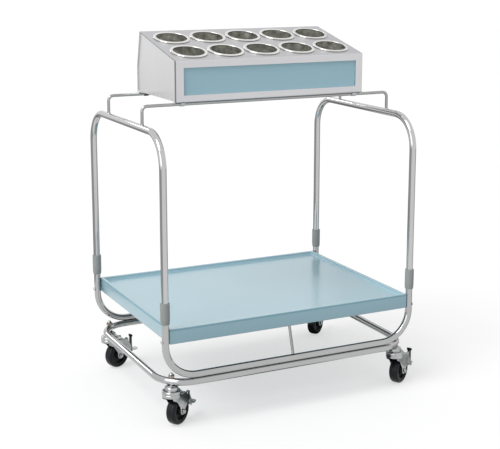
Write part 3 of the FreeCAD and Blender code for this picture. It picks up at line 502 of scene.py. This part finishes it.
# The sloped top is painted darker than the rest of the sheet, in uneven patches: painted shade.
painted_slope_shade = on_slope * (cloud * 0.16 + 0.09)
sheet_grey = wire.between(cloud, (0.59, 0.59, 0.61), (0.65, 0.65, 0.665))
feed(
    Base_Color=wire.between(painted_slope_shade, sheet_grey, (0, 0, 0)),
    Roughness=lines * 0.16 + 0.30,
    Normal=wire.bump(lines, 0.10, 0.0003),
)
# The end panels get a lighter copy of the same satin sheet: painted light.
end_satin_painted_light, wire, place, feed = new_finish("end_panel_satin_painted_light", Metallic=1.0)
lines = wire.noise(wire.stretched(place, (700.0, 700.0, 6.0)), 1.0, 3.0, 0.6)
cloud = wire.noise(place, 6.0, 4.0)
feed(
    Base_Color=wire.between(cloud, (0.72, 0.72, 0.73), (0.78, 0.78, 0.785)),
    Roughness=lines * 0.16 + 0.32,
    Normal=wire.bump(lines, 0.10, 0.0003),
)
panel_enamel, wire, place, feed = new_finish("panel_enamel", Specular_IOR_Level=0.4)
cloud = wire.noise(place, 7.0, 4.0)
peel = wire.noise(place, 500.0, 2.0)
feed(
    Base_Color=wire.between(cloud, (0.362, 0.586, 0.682), (0.390, 0.614, 0.710)),
    Roughness=cloud * 0.08 + 0.42,
    Normal=wire.bump(peel, 0.05, 0.0004),
)
dress(satin, "console_shell")
dress(end_satin_painted_light, "console_left_end", "console_right_end")
dress(panel_enamel, "console_front_panel")

# A dark grey strip is let into each end along the front edge and the slope: a painted shadow gap between the
# sheet and the end panel.
shadow_gap_grey = dull_paint("shadow_gap_grey", (0.18, 0.18, 0.185), (0.25, 0.25, 0.255))
console_sheet = 1.5
slope_reach = 300.0
front_shadow_gap, slope_shadow_gap, shadow_gap_deep = 9.0, 3.6, 3.8
shadow_gap_clearance, shadow_gap_inset = 0.1, 0.2


def console_edge(inset):
    """The front edge and the slope of the console seen end on, moved in from the skin."""
    front = console_low[1] + inset
    edge_z = console_low[2] + console_front + inset * (math.tan(slope) - 1 / math.cos(slope))
    return np.array([(0, front, console_low[2] + console_sheet + shadow_gap_clearance), (0, front, edge_z),
                     (0, front + slope_reach * math.cos(slope), edge_z + slope_reach * math.sin(slope))])


def folded_sheet(path, outward, low, high, along, thick, columns=6, edge_steps=4):
    """A pressed sheet: path + along (low + (high - low) v) on its outer skin, one thickness in on its inner.

    The two long edges are half round, and the two ends are cut square.
    """
    r = thick / 2
    mid = path - r * outward
    reach = (low + r)[:, None] + (high - low - thick)[:, None] * np.linspace(0, 1, columns + 1)
    a = np.linspace(0, math.pi, edge_steps + 1)[1:-1]
    flat = np.ones(columns + 1)
    lift = np.concatenate([flat, np.cos(a), -flat, -np.cos(a)])[None, :, None]
    spread = np.concatenate([reach, (high - r)[:, None] + r * np.sin(a), reach[:, ::-1],
                             (low + r)[:, None] - r * np.sin(a)], axis=1)[..., None]
    seam = mid[:, None] + spread * along
    skin = seam + r * lift * outward[:, None]
    return quads(np.concatenate([seam[:1], skin, seam[-1:]]), columns_close=True)


corners = console_edge(console_sheet + shadow_gap_clearance)
ends = {"left": console_low[0] + shadow_gap_inset, "right": console_high[0] - shadow_gap_inset - shadow_gap_deep}
for side, edge in ends.items():
    strips = []
    for first, wide in ((0, front_shadow_gap), (1, slope_shadow_gap)):
        run, heading = corners[first:first + 2], unit(corners[first + 1] - corners[first])
        outward = np.repeat(np.cross(X_AXIS, heading)[None], 2, axis=0)
        reach = np.full(2, edge)
        strips.append(folded_sheet(run, outward, reach, reach + shadow_gap_deep, X_AXIS, wide))
    piece(f"{side}_end_shadow_gap", strips, shadow_gap_grey, "frame", "dark_clip")

# Flatware cylinders
# Deep drawn stainless cups with a rolled bright rim and rows of round holes in the wall. Each one hangs by
# its rim in a hole of the sloped top and lifts straight out.
cup_rows = {"front": 80.0, "rear": 222.0}
cup_wall = 1.2
cup_mouth_r, cup_base_r, cup_rim_r, cup_lip_r = 50.5, 46.0, 59.5, 49.0
cup_deep = 130.0
cup_rim_rise, cup_lip_deep, cup_seat = 4.0, 3.0, 0.1
cup_heel_r = 7.0
rim_bright, rim_shade = 2.2, -0.4
hole_r = 4.4
hole_columns, hole_rows = 18, 5
hole_top, hole_bottom = -24.0, -112.0
cell_side = 4


def holed_cells(columns, rows, hole_u, hole_v, stagger):
    """Unit cells with a round hole, as (u, v) arrays: one ring of points on the hole, one on the cell's edge.

    A point of the cell's edge is the square's outline walked in equal steps, and its partner on the hole lies
    at the same angle from the cell's middle.
    """
    t = np.arange(cell_side) / cell_side - 0.5
    half = np.full(cell_side, 0.5)
    edge = np.concatenate([np.stack(p, -1) for p in ((t, -half), (half, t), (-t, half), (-half, -t))])
    angle = np.arctan2(edge[:, 1], edge[:, 0])
    hole = np.stack([hole_u * np.cos(angle), hole_v * np.sin(angle)], -1)
    cell = np.stack([edge, hole])
    column, row = np.meshgrid(np.arange(columns), np.arange(rows), indexing="ij")
    shift = 0.5 + column + stagger * (row % 2) * 0.5
    u = (shift[..., None, None] + cell[..., 0]) / columns
    v = (row[..., None, None] + 0.5 + cell[..., 1]) / rows
    return u.reshape(-1, *u.shape[2:]), v.reshape(-1, *v.shape[2:])


def ring_quads(loops):
    """Faces between successive closed loops of points, for many sets at once: sets, loops, points."""
    sets, count, points = loops.shape[:3]
    s = np.arange(sets)[:, None, None] * count * points
    i = np.arange(count - 1)[None, :, None]
    j = np.arange(points)[None, None, :]
    k = (j + 1) % points
    corner = [s + i * points + j, s + (i + 1) * points + j, s + (i + 1) * points + k, s + i * points + k]
    return loops.reshape(-1, 3), np.stack(corner, -1).reshape(-1, 4).tolist()


def cup_parts():
    """The wall's radius falls evenly from mouth to base; holes are cut through both of its skins."""
    def wall_r(h):
        return cup_mouth_r + (cup_base_r - cup_mouth_r) * np.clip(-h / cup_deep, 0, 1)

    def wall_point(u, v, out):
        h = hole_bottom + (hole_top - hole_bottom) * v
        r = wall_r(h) + out
        return np.stack([r * np.cos(2 * math.pi * u), r * np.sin(2 * math.pi * u), h], -1)

    tall = (hole_top - hole_bottom) / hole_rows
    wide = 2 * math.pi * wall_r((hole_top + hole_bottom) / 2) / hole_columns
    u, v = holed_cells(hole_columns, hole_rows, hole_r / wide, hole_r / tall, 1)
    inner, outer = wall_point(u, v, 0.0), wall_point(u, v, cup_wall)
    through = np.stack([inner[:, 0], inner[:, 1], outer[:, 1], outer[:, 0]], 1)
    parts = [ring_quads(through)]

    top = cup_rim_rise
    rim = softened(
        [(wall_r(hole_top), hole_top), (cup_lip_r, top - cup_lip_deep), (cup_lip_r, top), (cup_rim_r, top),
         (cup_rim_r, cup_seat), (cup_mouth_r + cup_wall, cup_seat), (wall_r(hole_top) + cup_wall, hole_top)],
        [0, 1.4, 1.4, 2.6, 0.4, 0.2, 0], 6, closed=False)
    sides = hole_columns * cell_side
    parts.append(turned(rim, np.zeros(3), Z_AXIS, X_AXIS, sides))

    heel = np.linspace(0, math.pi / 2, 7)
    inner_heel = cup_heel_r - cup_wall
    floor = cup_wall - cup_deep
    inside = np.stack([cup_base_r - inner_heel * (1 - np.cos(heel)),
                       floor + inner_heel * (1 - np.sin(heel))], -1)
    outside = np.stack([cup_base_r + cup_wall - cup_heel_r * (1 - np.cos(heel)),
                        -cup_deep + cup_heel_r * (1 - np.sin(heel))], -1)
    base = np.concatenate([[(wall_r(hole_bottom), hole_bottom)], inside, [(0, floor), (0, -cup_deep)],
                           outside[::-1], [(wall_r(hole_bottom) + cup_wall, hole_bottom)]])
    parts.append(turned(base, np.zeros(3), Z_AXIS, X_AXIS, sides))
    return parts


cup_steel, wire, place, feed = new_finish("drawn_steel", Metallic=1.0)
height = wire.node("VectorMath", {"operation": "DOT_PRODUCT"}, 1, _0=place, _1=slope_normal)
on_rim = wire.math("GREATER_THAN", height, (mouth_level + rim_bright) * MM)
# A dark band is painted at the foot of the rim bead, where it meets the sloped top: a painted shadow line.
rim_foot_painted_shade = wire.math("GREATER_THAN", height, (mouth_level + rim_shade) * MM)
rings = wire.node("TexNoise", {"noise_dimensions": "1D"}, "Fac", W=height, Scale=2500.0, Detail=2.0)
cloud = wire.noise(place, 62.0, 3.0)
blotch = wire.node("ValToRGB", {"stops": ((0.32, (0, 0, 0, 1)), (0.68, (1, 1, 1, 1)))}, 0, Fac=cloud)
wall_colour = wire.between(blotch, (0.53, 0.53, 0.48), (0.88, 0.87, 0.82))
wall_and_rim_foot_shade = wire.between(rim_foot_painted_shade, wall_colour, (0.36, 0.34, 0.31))
rim_colour = wire.between(cloud, (0.80, 0.80, 0.79), (0.64, 0.64, 0.63))
feed(
    Base_Color=wire.between(on_rim, wall_and_rim_foot_shade, rim_colour),
    Roughness=(rings * 0.06 + cloud * 0.30 + 0.15) * (1 - on_rim) + on_rim * 0.10,
    Normal=wire.bump(rings, 0.08, 0.0002),
)
cup = cup_parts()
tilt = np.array([X_AXIS, [0, math.cos(slope), math.sin(slope)], [0, -math.sin(slope), math.cos(slope)]])
for row, along in cup_rows.items():
    for count in range(1, 6):
        node = f"flatware_cylinder_{row}_{count}"
        low, high = box_mm(node)
        edge = np.array([(low[0] + high[0]) / 2, console_low[1], console_low[2] + console_front])
        parts = [(vertices @ tilt + edge + along * tilt[1], faces) for vertices, faces in cup]
        piece(f"cup_{row}_{count}", parts, cup_steel, f"{node}_lift", "cup_steel", node)

# Casters
# Zinc plated swivel casters: a stem with its nut through the hoop, a bearing cap, a pressed fork, an axle
# bolt, a black wheel with a rubber tyre and a stamped foot brake on a rivet between the fork's ears. Two of
# the brakes have an upright tab with a black tip.
stamped = plated("stamped_zinc", (0.60, 0.615, 0.615), (0.36, 0.38, 0.38), 0.26, 0.40, 0.15, 45.0)
nut_steel = plated("nut_steel", (0.36, 0.31, 0.28), (0.24, 0.205, 0.19), 0.16, 0.28, 0.12)
wheel_black, wire, place, feed = new_finish("wheel_black", Specular_IOR_Level=0.25)
grain = wire.noise(place, 500.0, 3.0)
feed(
    Base_Color=wire.between(grain, (0.008, 0.0085, 0.0095), (0.016, 0.017, 0.019)),
    Roughness=grain * 0.15 + 0.38,
    Normal=wire.bump(grain, 0.15, 0.0003),
)
tyre_rubber, wire, place, feed = new_finish("tyre_rubber", Specular_IOR_Level=0.22)
grain = wire.noise(place, 350.0, 4.0)
dust = wire.noise(place, 25.0, 4.0)
feed(
    Base_Color=wire.between(dust, (0.004, 0.0052, 0.0072), (0.010, 0.0122, 0.0150)),
    Roughness=grain * 0.18 + 0.26,
    Normal=wire.bump(grain, 0.25, 0.0004),
)


def filled(points, headings, step):
    """The same path with further points at equal steps along it."""
    s = np.concatenate([[0], np.cumsum(np.linalg.norm(np.diff(points, axis=0), axis=1))])
    t = np.unique(np.concatenate([s, np.arange(0, s[-1], step)]))

    def at(values):
        return np.stack([np.interp(t, s, column) for column in values.T], -1)

    return at(points), unit(at(headings))


def profile_at(x, corners, radius):
    """Height of a rounded outline over x, for an outline that never turns back."""
    points = softened(corners, radius, closed=False)
    return np.interp(x, points[:, 0], points[:, 1])


def hexagon_nut(centre, axis, across, corner_r, bore_r, tall):
    """A nut: its radius is the lesser of a cone's and the hexagon's, flat / cos (angle from the flat)."""
    a = np.linspace(0, 2 * math.pi, 72, endpoint=False)
    flat = corner_r * math.cos(math.pi / 6)
    six = flat / np.cos((a + math.pi / 6) % (math.pi / 3) - math.pi / 6)
    bevel, bevel_slope = 0.16, 1.8
    h = np.array([0, 0, 0.06, bevel, 0.5, 1 - bevel, 0.94, 1, 1])[:, None] * tall
    cone = corner_r - bevel_slope * np.maximum(0, bevel * tall - np.minimum(h, tall - h))
    r = np.minimum(six[None], cone)
    r[[0, -1]] = bore_r
    around = np.cos(a)[:, None] * across + np.sin(a)[:, None] * np.cross(axis, across)
    return quads(centre + h[..., None] * axis + r[..., None] * around, columns_close=True)


joints = {joint["name"]: joint for joint in frame["joints"]}
hoop_top = ring_high[2]
caster_rise = ring_low[2]
wheel_r = joints["front_left_wheel_roll"]["pos_m"][2] / MM
tyre_half, tyre_thick, tyre_round, tyre_fit = 16.0, 11.0, 8.9, 0.1
hub_half, boss_r, web_half, felloe, felloe_step = 17.0, 13.0, 5.0, 6.0, 1.5
axle_r, axle_edge, axle_over, axle_nut_r, axle_nut_tall = 4.0, 0.8, 1.5, 7.5, 5.5
hub_bore_r, axle_nut_bore_r = axle_r + 0.05, axle_r - 0.2
stem_r, stem_edge, stem_over, thread, thread_deep = 6.0, 1.2, 15.0, 1.25, 0.6
stem_nut_r, stem_nut_tall, stem_nut_bore_r = 10.5, 10.0, stem_r - 0.3
cap_r, cap_tall, cap_slant = 21.0, 12.0, 8.0
king_r, king_head_r, king_head = 7.0, 10.0, 4.0
king_bore_r = king_r + 0.1
seat_gap = 0.3
cap_low = caster_rise - seat_gap - cap_tall
crown_r, crown_low, crown_top = 30.0, wheel_r * 2 + 14.0, cap_low - seat_gap
race_r, race_tall, drum_edge_r, groove_rise, groove = 19.5, 3.0, 5.0, 6.0, 0.9
fork_half, fork_sheet, fork_fold = 21.5, 2.5, 4.0
fork_top = crown_low + fork_sheet
fork_eye_r, fork_back, fork_sweep_r = 11.0, 44.0, 16.0
pin_x, pin_z = 56.0, wheel_r + 52.0
pin_r, pin_deep, pin_sink, pin_head_r, pin_head = 3.0, 4.0, 0.1, 4.6, 1.2
lever_half, lever_sheet, lever_eye, lever_back = 18.7, 2.0, 7.0, wheel_r + 40.0
lever_fold, lever_edge_r, lever_heel = 5.0, 6.8, 9.0
pedal_z, pedal_half, pedal_toe, pedal_bend_r = wheel_r + 2.0, 11.0, 5.0, 9.0
pedal_tread = ((-1.5, 2.0), (27.0, -2.0), (35.0, 3.2))
pedal_flare, pedal_root = 3.0, 8.0
tab_half, tab_top, tab_foot, tab_flare, tab_neck = 7.0, pin_z + 9.0, 1.0, 3.0, (12.0, 24.0)
tip_long, tip_half, tip_over, tip_round, tip_dome, tip_flat = 8.0, 3.0, 2.0, 2.6, 2.4, 0.05


def fork_parts(trail):
    """The fork's sheet runs up one leg, over the top and down the other, between outlines over height."""
    legs = [(0, -fork_half, wheel_r - fork_eye_r), (0, -fork_half, fork_top), (0, fork_half, fork_top),
            (0, fork_half, wheel_r - fork_eye_r)]
    path, headings = filled(*bent_path(legs, fork_fold, 6), 2.0)
    y, z = path[:, 1], path[:, 2]
    eye_low, eye_high = wheel_r - fork_eye_r, wheel_r + fork_eye_r
    shoulder = -math.sqrt(crown_r ** 2 - fork_half ** 2)
    eye_round = fork_eye_r - 0.2
    front = profile_at(
        z, [(eye_low, trail), (eye_low, trail - fork_eye_r), (eye_high, trail - fork_eye_r),
            (fork_top - 2 * fork_eye_r, 0), (fork_top - fork_eye_r, shoulder), (fork_top, shoulder)],
        [0, eye_round, fork_sweep_r, fork_sweep_r, 4, 0])
    ear_x, ear_top = pin_x + fork_eye_r, pin_z + lever_eye
    back = profile_at(
        z, [(eye_low, trail), (eye_low, trail + fork_eye_r), (wheel_r + 4, trail + fork_eye_r),
            (pin_z - 2 * fork_eye_r, ear_x), (ear_top, ear_x), (ear_top, pin_x)],
        [0, eye_round, fork_sweep_r, 7, lever_edge_r, 0])
    on_top = z > fork_top - fork_fold
    front = np.where(on_top, -np.sqrt(np.maximum(crown_r ** 2 - y ** 2, 0)), front)
    back = np.where(on_top, fork_back, back)
    sheet = folded_sheet(path, np.cross(X_AXIS, headings), front, back, X_AXIS, fork_sheet, 10)
    neck = crown_top - race_tall
    skirt_r, skirt_low = crown_r - fork_sheet, crown_low - fork_sheet
    bead, bead_r = crown_low + groove_rise, crown_r - groove
    drum = softened(
        [(king_bore_r, crown_low), (skirt_r, crown_low), (skirt_r, skirt_low), (crown_r, skirt_low),
         (crown_r, bead), (bead_r, bead + groove), (bead_r, bead + 2 * groove), (crown_r, bead + 3 * groove),
         (crown_r, neck), (race_r, neck), (race_r, crown_top), (king_bore_r, crown_top)],
        [0.1, 0.8, 0.9, 0.9, 0.3, 0.3, 0.3, 0.3, drum_edge_r, 0.8, 0.4, 0.1], 5)
    parts = [sheet, turned(drum, np.zeros(3), Z_AXIS, X_AXIS, 64, closed=True)]
    head = np.linspace(0, math.pi / 2, 6)
    for sign in (-1, 1):
        rivet = [(0, -pin_deep), (pin_r, -pin_deep), (pin_r, 0), (pin_head_r, 0),
                 *zip(pin_head_r * np.cos(head), pin_head * np.sin(head))]
        base = np.array([pin_x, sign * (fork_half - pin_sink), pin_z])
        parts.append(turned(rivet, base, sign * Y_AXIS, X_AXIS, 24))
    return parts


def lever_parts():
    """The lever's sheet runs along one cheek, across the back and along the other; a second is the pedal."""
    cheek_x = pin_x - lever_eye
    turn = [(cheek_x, -lever_half, 0), (lever_back, -lever_half, 0), (lever_back, lever_half, 0),
            (cheek_x, lever_half, 0)]
    path, headings = filled(*bent_path(turn, lever_fold, 6), 1.5)
    eye_top, back_top = pin_z + lever_eye, pedal_z + 2 * lever_eye
    top = profile_at(
        path[:, 0],
        [(cheek_x, pin_z), (cheek_x, eye_top), (pin_x + lever_eye, eye_top), (lever_back, back_top)],
        [0, lever_edge_r, lever_edge_r, 0])
    low = profile_at(
        path[:, 0],
        [(cheek_x, pin_z), (cheek_x, pin_z - lever_eye), (lever_back - lever_heel, pedal_z),
         (lever_back, pedal_z)],
        [0, 4, 6, 0])
    cheeks = folded_sheet(path, np.cross(headings, Z_AXIS), low, top, Z_AXIS, lever_sheet)
    toe = [(lever_back + out, 0, pedal_z + up) for out, up in pedal_tread]
    path, headings = filled(*bent_path(toe, pedal_bend_r, 8), 1.5)
    to_end = path[-1, 0] - path[:, 0]
    flare = np.interp(path[:, 0] - path[0, 0], [0, pedal_root], [pedal_half + pedal_flare, pedal_half])
    gone = np.maximum(pedal_toe - to_end, 0)
    half = flare - pedal_toe + np.sqrt(np.maximum(pedal_toe ** 2 - gone ** 2, 0))
    pedal = folded_sheet(path, np.cross(headings, Y_AXIS), -half, half, Y_AXIS, lever_sheet)
    return [cheeks, pedal]


def tab_parts(y):
    """The upright tab of a locking brake: a strip from the back of the lever, narrowed at its top."""
    line = np.array([(lever_back, 0, pedal_z + tab_foot), (lever_back, 0, tab_top)])
    path = filled(line, np.array([Z_AXIS] * 2), 2.0)[0]
    half = np.interp(path[:, 2] - pedal_z, tab_neck, [tab_half + tab_flare, tab_half])
    outward = np.repeat(X_AXIS[None], len(path), axis=0)
    return [folded_sheet(path, outward, y - half, y + half, Y_AXIS, lever_sheet)]


def tip_parts(y):
    """The black tip: rounded loops stacked upwards, drawn in at the foot and domed at the top."""
    a = np.linspace(0, math.pi / 2, 7)
    middle = tip_half - tip_flat
    insets = np.concatenate([[middle, 1.0, 0.3], tip_round * (1 - np.cos(a)), [middle]])
    heights = np.concatenate([[0, 0, 0.7], tip_long - tip_dome + tip_dome * np.sin(a), [tip_long]])
    heights += tab_top + tip_over - tip_long
    loops = rectangle_loops(tip_half, tab_half + tip_over, insets, heights, tip_round, 5, 4)
    return [quads(loops + (lever_back - 1, y, 0), columns_close=True)]


stem_nuts = []
for corner in ("front_left", "front_right", "rear_left", "rear_right"):
    swivel = np.array(joints[f"{corner}_swivel_turn"]["pos_m"]) / MM
    centre = np.array(joints[f"{corner}_wheel_roll"]["pos_m"]) / MM
    foot = swivel * (1, 1, 0)
    trail_line = (centre - swivel) * (1, 1, 0)
    trail = np.linalg.norm(trail_line)
    turn = np.array([unit(trail_line), np.cross(Z_AXIS, unit(trail_line)), Z_AXIS])
    across = turn[1]

    def placed(parts):
        return [(vertices @ turn + foot, faces) for vertices, faces in parts]

    inner = wheel_r - tyre_thick
    tread = softened(
        [(inner, -tyre_half), (wheel_r, -tyre_half), (wheel_r, tyre_half), (inner, tyre_half)],
        [0.8, tyre_round, tyre_round, 0.8], 9)
    piece(f"{corner}_rubber", [turned(tread, centre, across, Z_AXIS, 80, closed=True)], tyre_rubber,
          f"{corner}_wheel", "wheel_rubber", f"{corner}_tyre")
    rim_r, rim_half = inner - tyre_fit, tyre_half - felloe_step
    half = [(hub_bore_r, hub_half), (boss_r, hub_half), (boss_r + 1, web_half), (rim_r - felloe, web_half),
            (rim_r - felloe + 1, rim_half), (rim_r, rim_half)]
    hub = softened(half + [(r, -y) for r, y in reversed(half)], 0.45, 3)
    piece(f"{corner}_centre", [turned(hub, centre, across, Z_AXIS, 64, closed=True)], wheel_black,
          f"{corner}_wheel", "wheel_plastic", f"{corner}_wheel_hub")

    piece(f"{corner}_pressed_fork", placed(fork_parts(trail)), zinc, f"{corner}_swivel", "zinc_plate",
          f"{corner}_fork")
    nut_seat = fork_half + seat_gap
    bar_half = nut_seat + axle_nut_tall + axle_over
    bar = [(0, -bar_half), (axle_r - axle_edge, -bar_half), (axle_r, axle_edge - bar_half),
           (axle_r, bar_half - axle_edge), (axle_r - axle_edge, bar_half), (0, bar_half)]
    axle = [turned(bar, centre, across, Z_AXIS, 28)]
    for sign in (-1, 1):
        outward = sign * across
        axle.append(hexagon_nut(centre + outward * nut_seat, outward, Z_AXIS, axle_nut_r, axle_nut_bore_r,
                                axle_nut_tall))
    piece(f"{corner}_axle_bolt", axle, zinc, f"{corner}_swivel", "zinc_plate", f"{corner}_axle")

    stem_top = hoop_top + stem_over
    ridges = np.arange(hoop_top + 1.0, stem_top - 1.0, thread)
    screw = np.stack([np.tile([stem_r, stem_r - thread_deep], len(ridges)),
                      np.stack([ridges, ridges + thread / 2], -1).ravel()], -1)
    dome = softened(
        [(king_r, cap_low), (cap_r, cap_low), (cap_r, cap_low + cap_tall / 2),
         (cap_r - cap_slant, caster_rise - 2 * seat_gap), (stem_r, caster_rise - seat_gap)],
        [0, 0.8, 4, 3, 0], closed=False)
    head_top = crown_low - seat_gap
    head_low = head_top - king_head
    head = [(0, head_low), (king_head_r, head_low), (king_head_r, head_top), (king_r, head_top)]
    stem = np.concatenate([head, dome, screw, [(stem_r - stem_edge, stem_top), (0, stem_top)]])
    piece(f"{corner}_stem", [turned(stem, foot, Z_AXIS, X_AXIS, 56)], zinc, "frame", "zinc_plate",
          f"{corner}_caster_stem")
    seat = foot + Z_AXIS * (hoop_top + seat_gap)
    stem_nuts.append(hexagon_nut(seat, Z_AXIS, turn[0], stem_nut_r, stem_nut_bore_r, stem_nut_tall))

    lever = lever_parts()
    if f"{corner}_lock_tip" in frame["nodes"]:
        low, high = box_mm(f"{corner}_lock_tip")
        tab_y = ((low + high) / 2 - foot) @ across
        lever += tab_parts(tab_y)
        piece(f"{corner}_tip", placed(tip_parts(tab_y)), wheel_black, f"{corner}_brake", "tip_plastic",
              f"{corner}_lock_tip")
    piece(f"{corner}_foot_brake", placed(lever), stamped, f"{corner}_brake", "zinc_plate",
          f"{corner}_brake_lever")
piece("stem_hexagon_nuts", stem_nuts, nut_steel, "frame", "zinc_plate", "stem_nuts")
dress(zinc, "tube_joiners")

# Studio
# A white floor without an edge in sight, an even white surround, a broad lamp high on the left, a softer one
# from the left side and a small one behind. Cloths that only mirrors see give the chrome its dark edges and
# the shelf its shading.
def ring_sheet(name, first, second, start, end):
    """A sheet of the stage between two arcs, in metres and degrees.

    Its points are (r cos a, r sin a, h), with r and h from the first arc's radius and height to the second's.
    """
    a = np.radians(np.linspace(start, end, 49))
    arcs = [np.stack([r * np.cos(a), r * np.sin(a), np.full(len(a), h)], -1) for r, h in (first, second)]
    vertices, faces = quads(np.stack(arcs))
    mesh = bpy.data.meshes.new(name)
    mesh.from_pydata(vertices.tolist(), [], faces)
    made = bpy.data.objects.new(name, mesh)
    bpy.context.scene.collection.objects.link(made)
    return made


def seen_directly(wire):
    """1 for rays from the camera, from a gloss or through glass, 0 for the light that falls on the object."""
    names = ("Is Camera Ray", "Is Glossy Ray", "Is Transmission Ray")
    camera_ray, glossy_ray, clear_ray = (wire.node("LightPath", {}, name) for name in names)
    return wire.math("MAXIMUM", wire.math("MAXIMUM", camera_ray, glossy_ray), clear_ray)


floor = ring_sheet("studio_floor", (40.0, 0.0), (0.0, 0.0), 0, 360)
paper, wire, place, feed = new_finish("floor_paper", Roughness=0.9, Specular_IOR_Level=0.0)
bounce = 0.42
glow = 0.55
seen = seen_directly(wire)
shade = wire.noise(place, 2.0) * 0.01 + 0.975
level = seen * (1 - glow - bounce) + bounce
feed(
    Base_Color=wire.node("CombineColor", {}, 0, Red=shade * level, Green=shade * level, Blue=shade * level),
    Emission_Color=wire.node("CombineColor", {}, 0, Red=seen, Green=seen, Blue=seen),
    Emission_Strength=glow,
)
floor.data.materials.append(paper)


def cloth(name, dark, light):
    """Matt cloth of an uneven grey."""
    made, wire, place, feed = new_finish(name, Roughness=1.0, Specular_IOR_Level=0.0)
    feed(Base_Color=wire.between(wire.noise(place, 3.0), dark, light))
    return made


grey_cloth = cloth("grey_cloth", (0.40, 0.40, 0.40), (0.46, 0.46, 0.46))
pale_cloth = cloth("pale_cloth", (0.50, 0.50, 0.50), (0.56, 0.56, 0.56))
light_cloth = cloth("light_cloth", (0.73, 0.73, 0.73), (0.79, 0.79, 0.79))
deep_cloth = cloth("deep_cloth", (0.20, 0.20, 0.20), (0.25, 0.25, 0.25))
dark_cloth = cloth("dark_cloth", (0.070, 0.080, 0.078), (0.105, 0.116, 0.113))
for sheet, finish in (
    (ring_sheet("left_cloth", (7.0, 0.004), (1.5, 0.004), 80, 209), grey_cloth),
    (ring_sheet("right_cloth", (7.0, 0.004), (0.65, 0.004), -30, 80), pale_cloth),
    (ring_sheet("back_cloth", (2.6, 0.006), (1.4, 0.006), 60, 125), deep_cloth),
    (ring_sheet("hung_cloth", (9.0, 0.8), (9.0, 5.6), 25, 58), light_cloth),
    (ring_sheet("front_cloth", (0.34, 0.004), (0.0, 0.004), 170, 370), dark_cloth),
    (ring_sheet("rear_cloth", (0.65, 0.004), (0.0, 0.004), 30, 80), dark_cloth),
):
    sheet.data.materials.append(finish)
    sheet.visible_camera = False
    sheet.visible_diffuse = False
    sheet.visible_shadow = False
    sheet.visible_transmission = False

surround = bpy.data.worlds.new("studio_surround")
bpy.context.scene.world = surround
surround.use_nodes = True
wire = Wire(surround.node_tree)
backdrop = surround.node_tree.nodes["Background"]
backdrop.inputs["Color"].default_value = (1, 1, 1, 1)
fill = 0.60
surround.node_tree.links.new((seen_directly(wire) * (1 - fill) + fill).socket, backdrop.inputs["Strength"])

for name, energy, spread, heading in (
    ("key_lamp", 1.70, 35, (0.75, 0.20, -1.0)),
    ("side_lamp", 0.54, 45, (0.93, 0.42, -0.20)),
    ("rim_lamp", 0.15, 10, (0.25, -0.885, -0.38)),
):
    lamp = bpy.data.lights.new(name, "SUN")
    lamp.energy = energy
    lamp.angle = math.radians(spread)
    lamp_object = bpy.data.objects.new(name, lamp)
    lamp_object.rotation_euler = Vector(heading).to_track_quat("-Z", "Y").to_euler()
    bpy.context.scene.collection.objects.link(lamp_object)

view_down, view_right = 0.1959, 0.4558
camera = bpy.data.cameras.new("photo_camera")
camera.sensor_width = 36.0
camera.lens = 82.38
camera.shift_y = -0.08
camera.clip_end = 200.0
camera_object = bpy.data.objects.new("photo_camera", camera)
camera_object.location = (-1.6297, -3.3279, 1.4026)
camera_object.rotation_euler = (math.pi / 2 - view_down, 0.0, -view_right)
bpy.context.scene.collection.objects.link(camera_object)
bpy.context.scene.camera = camera_object
bpy.context.scene.view_settings.view_transform = "Standard"
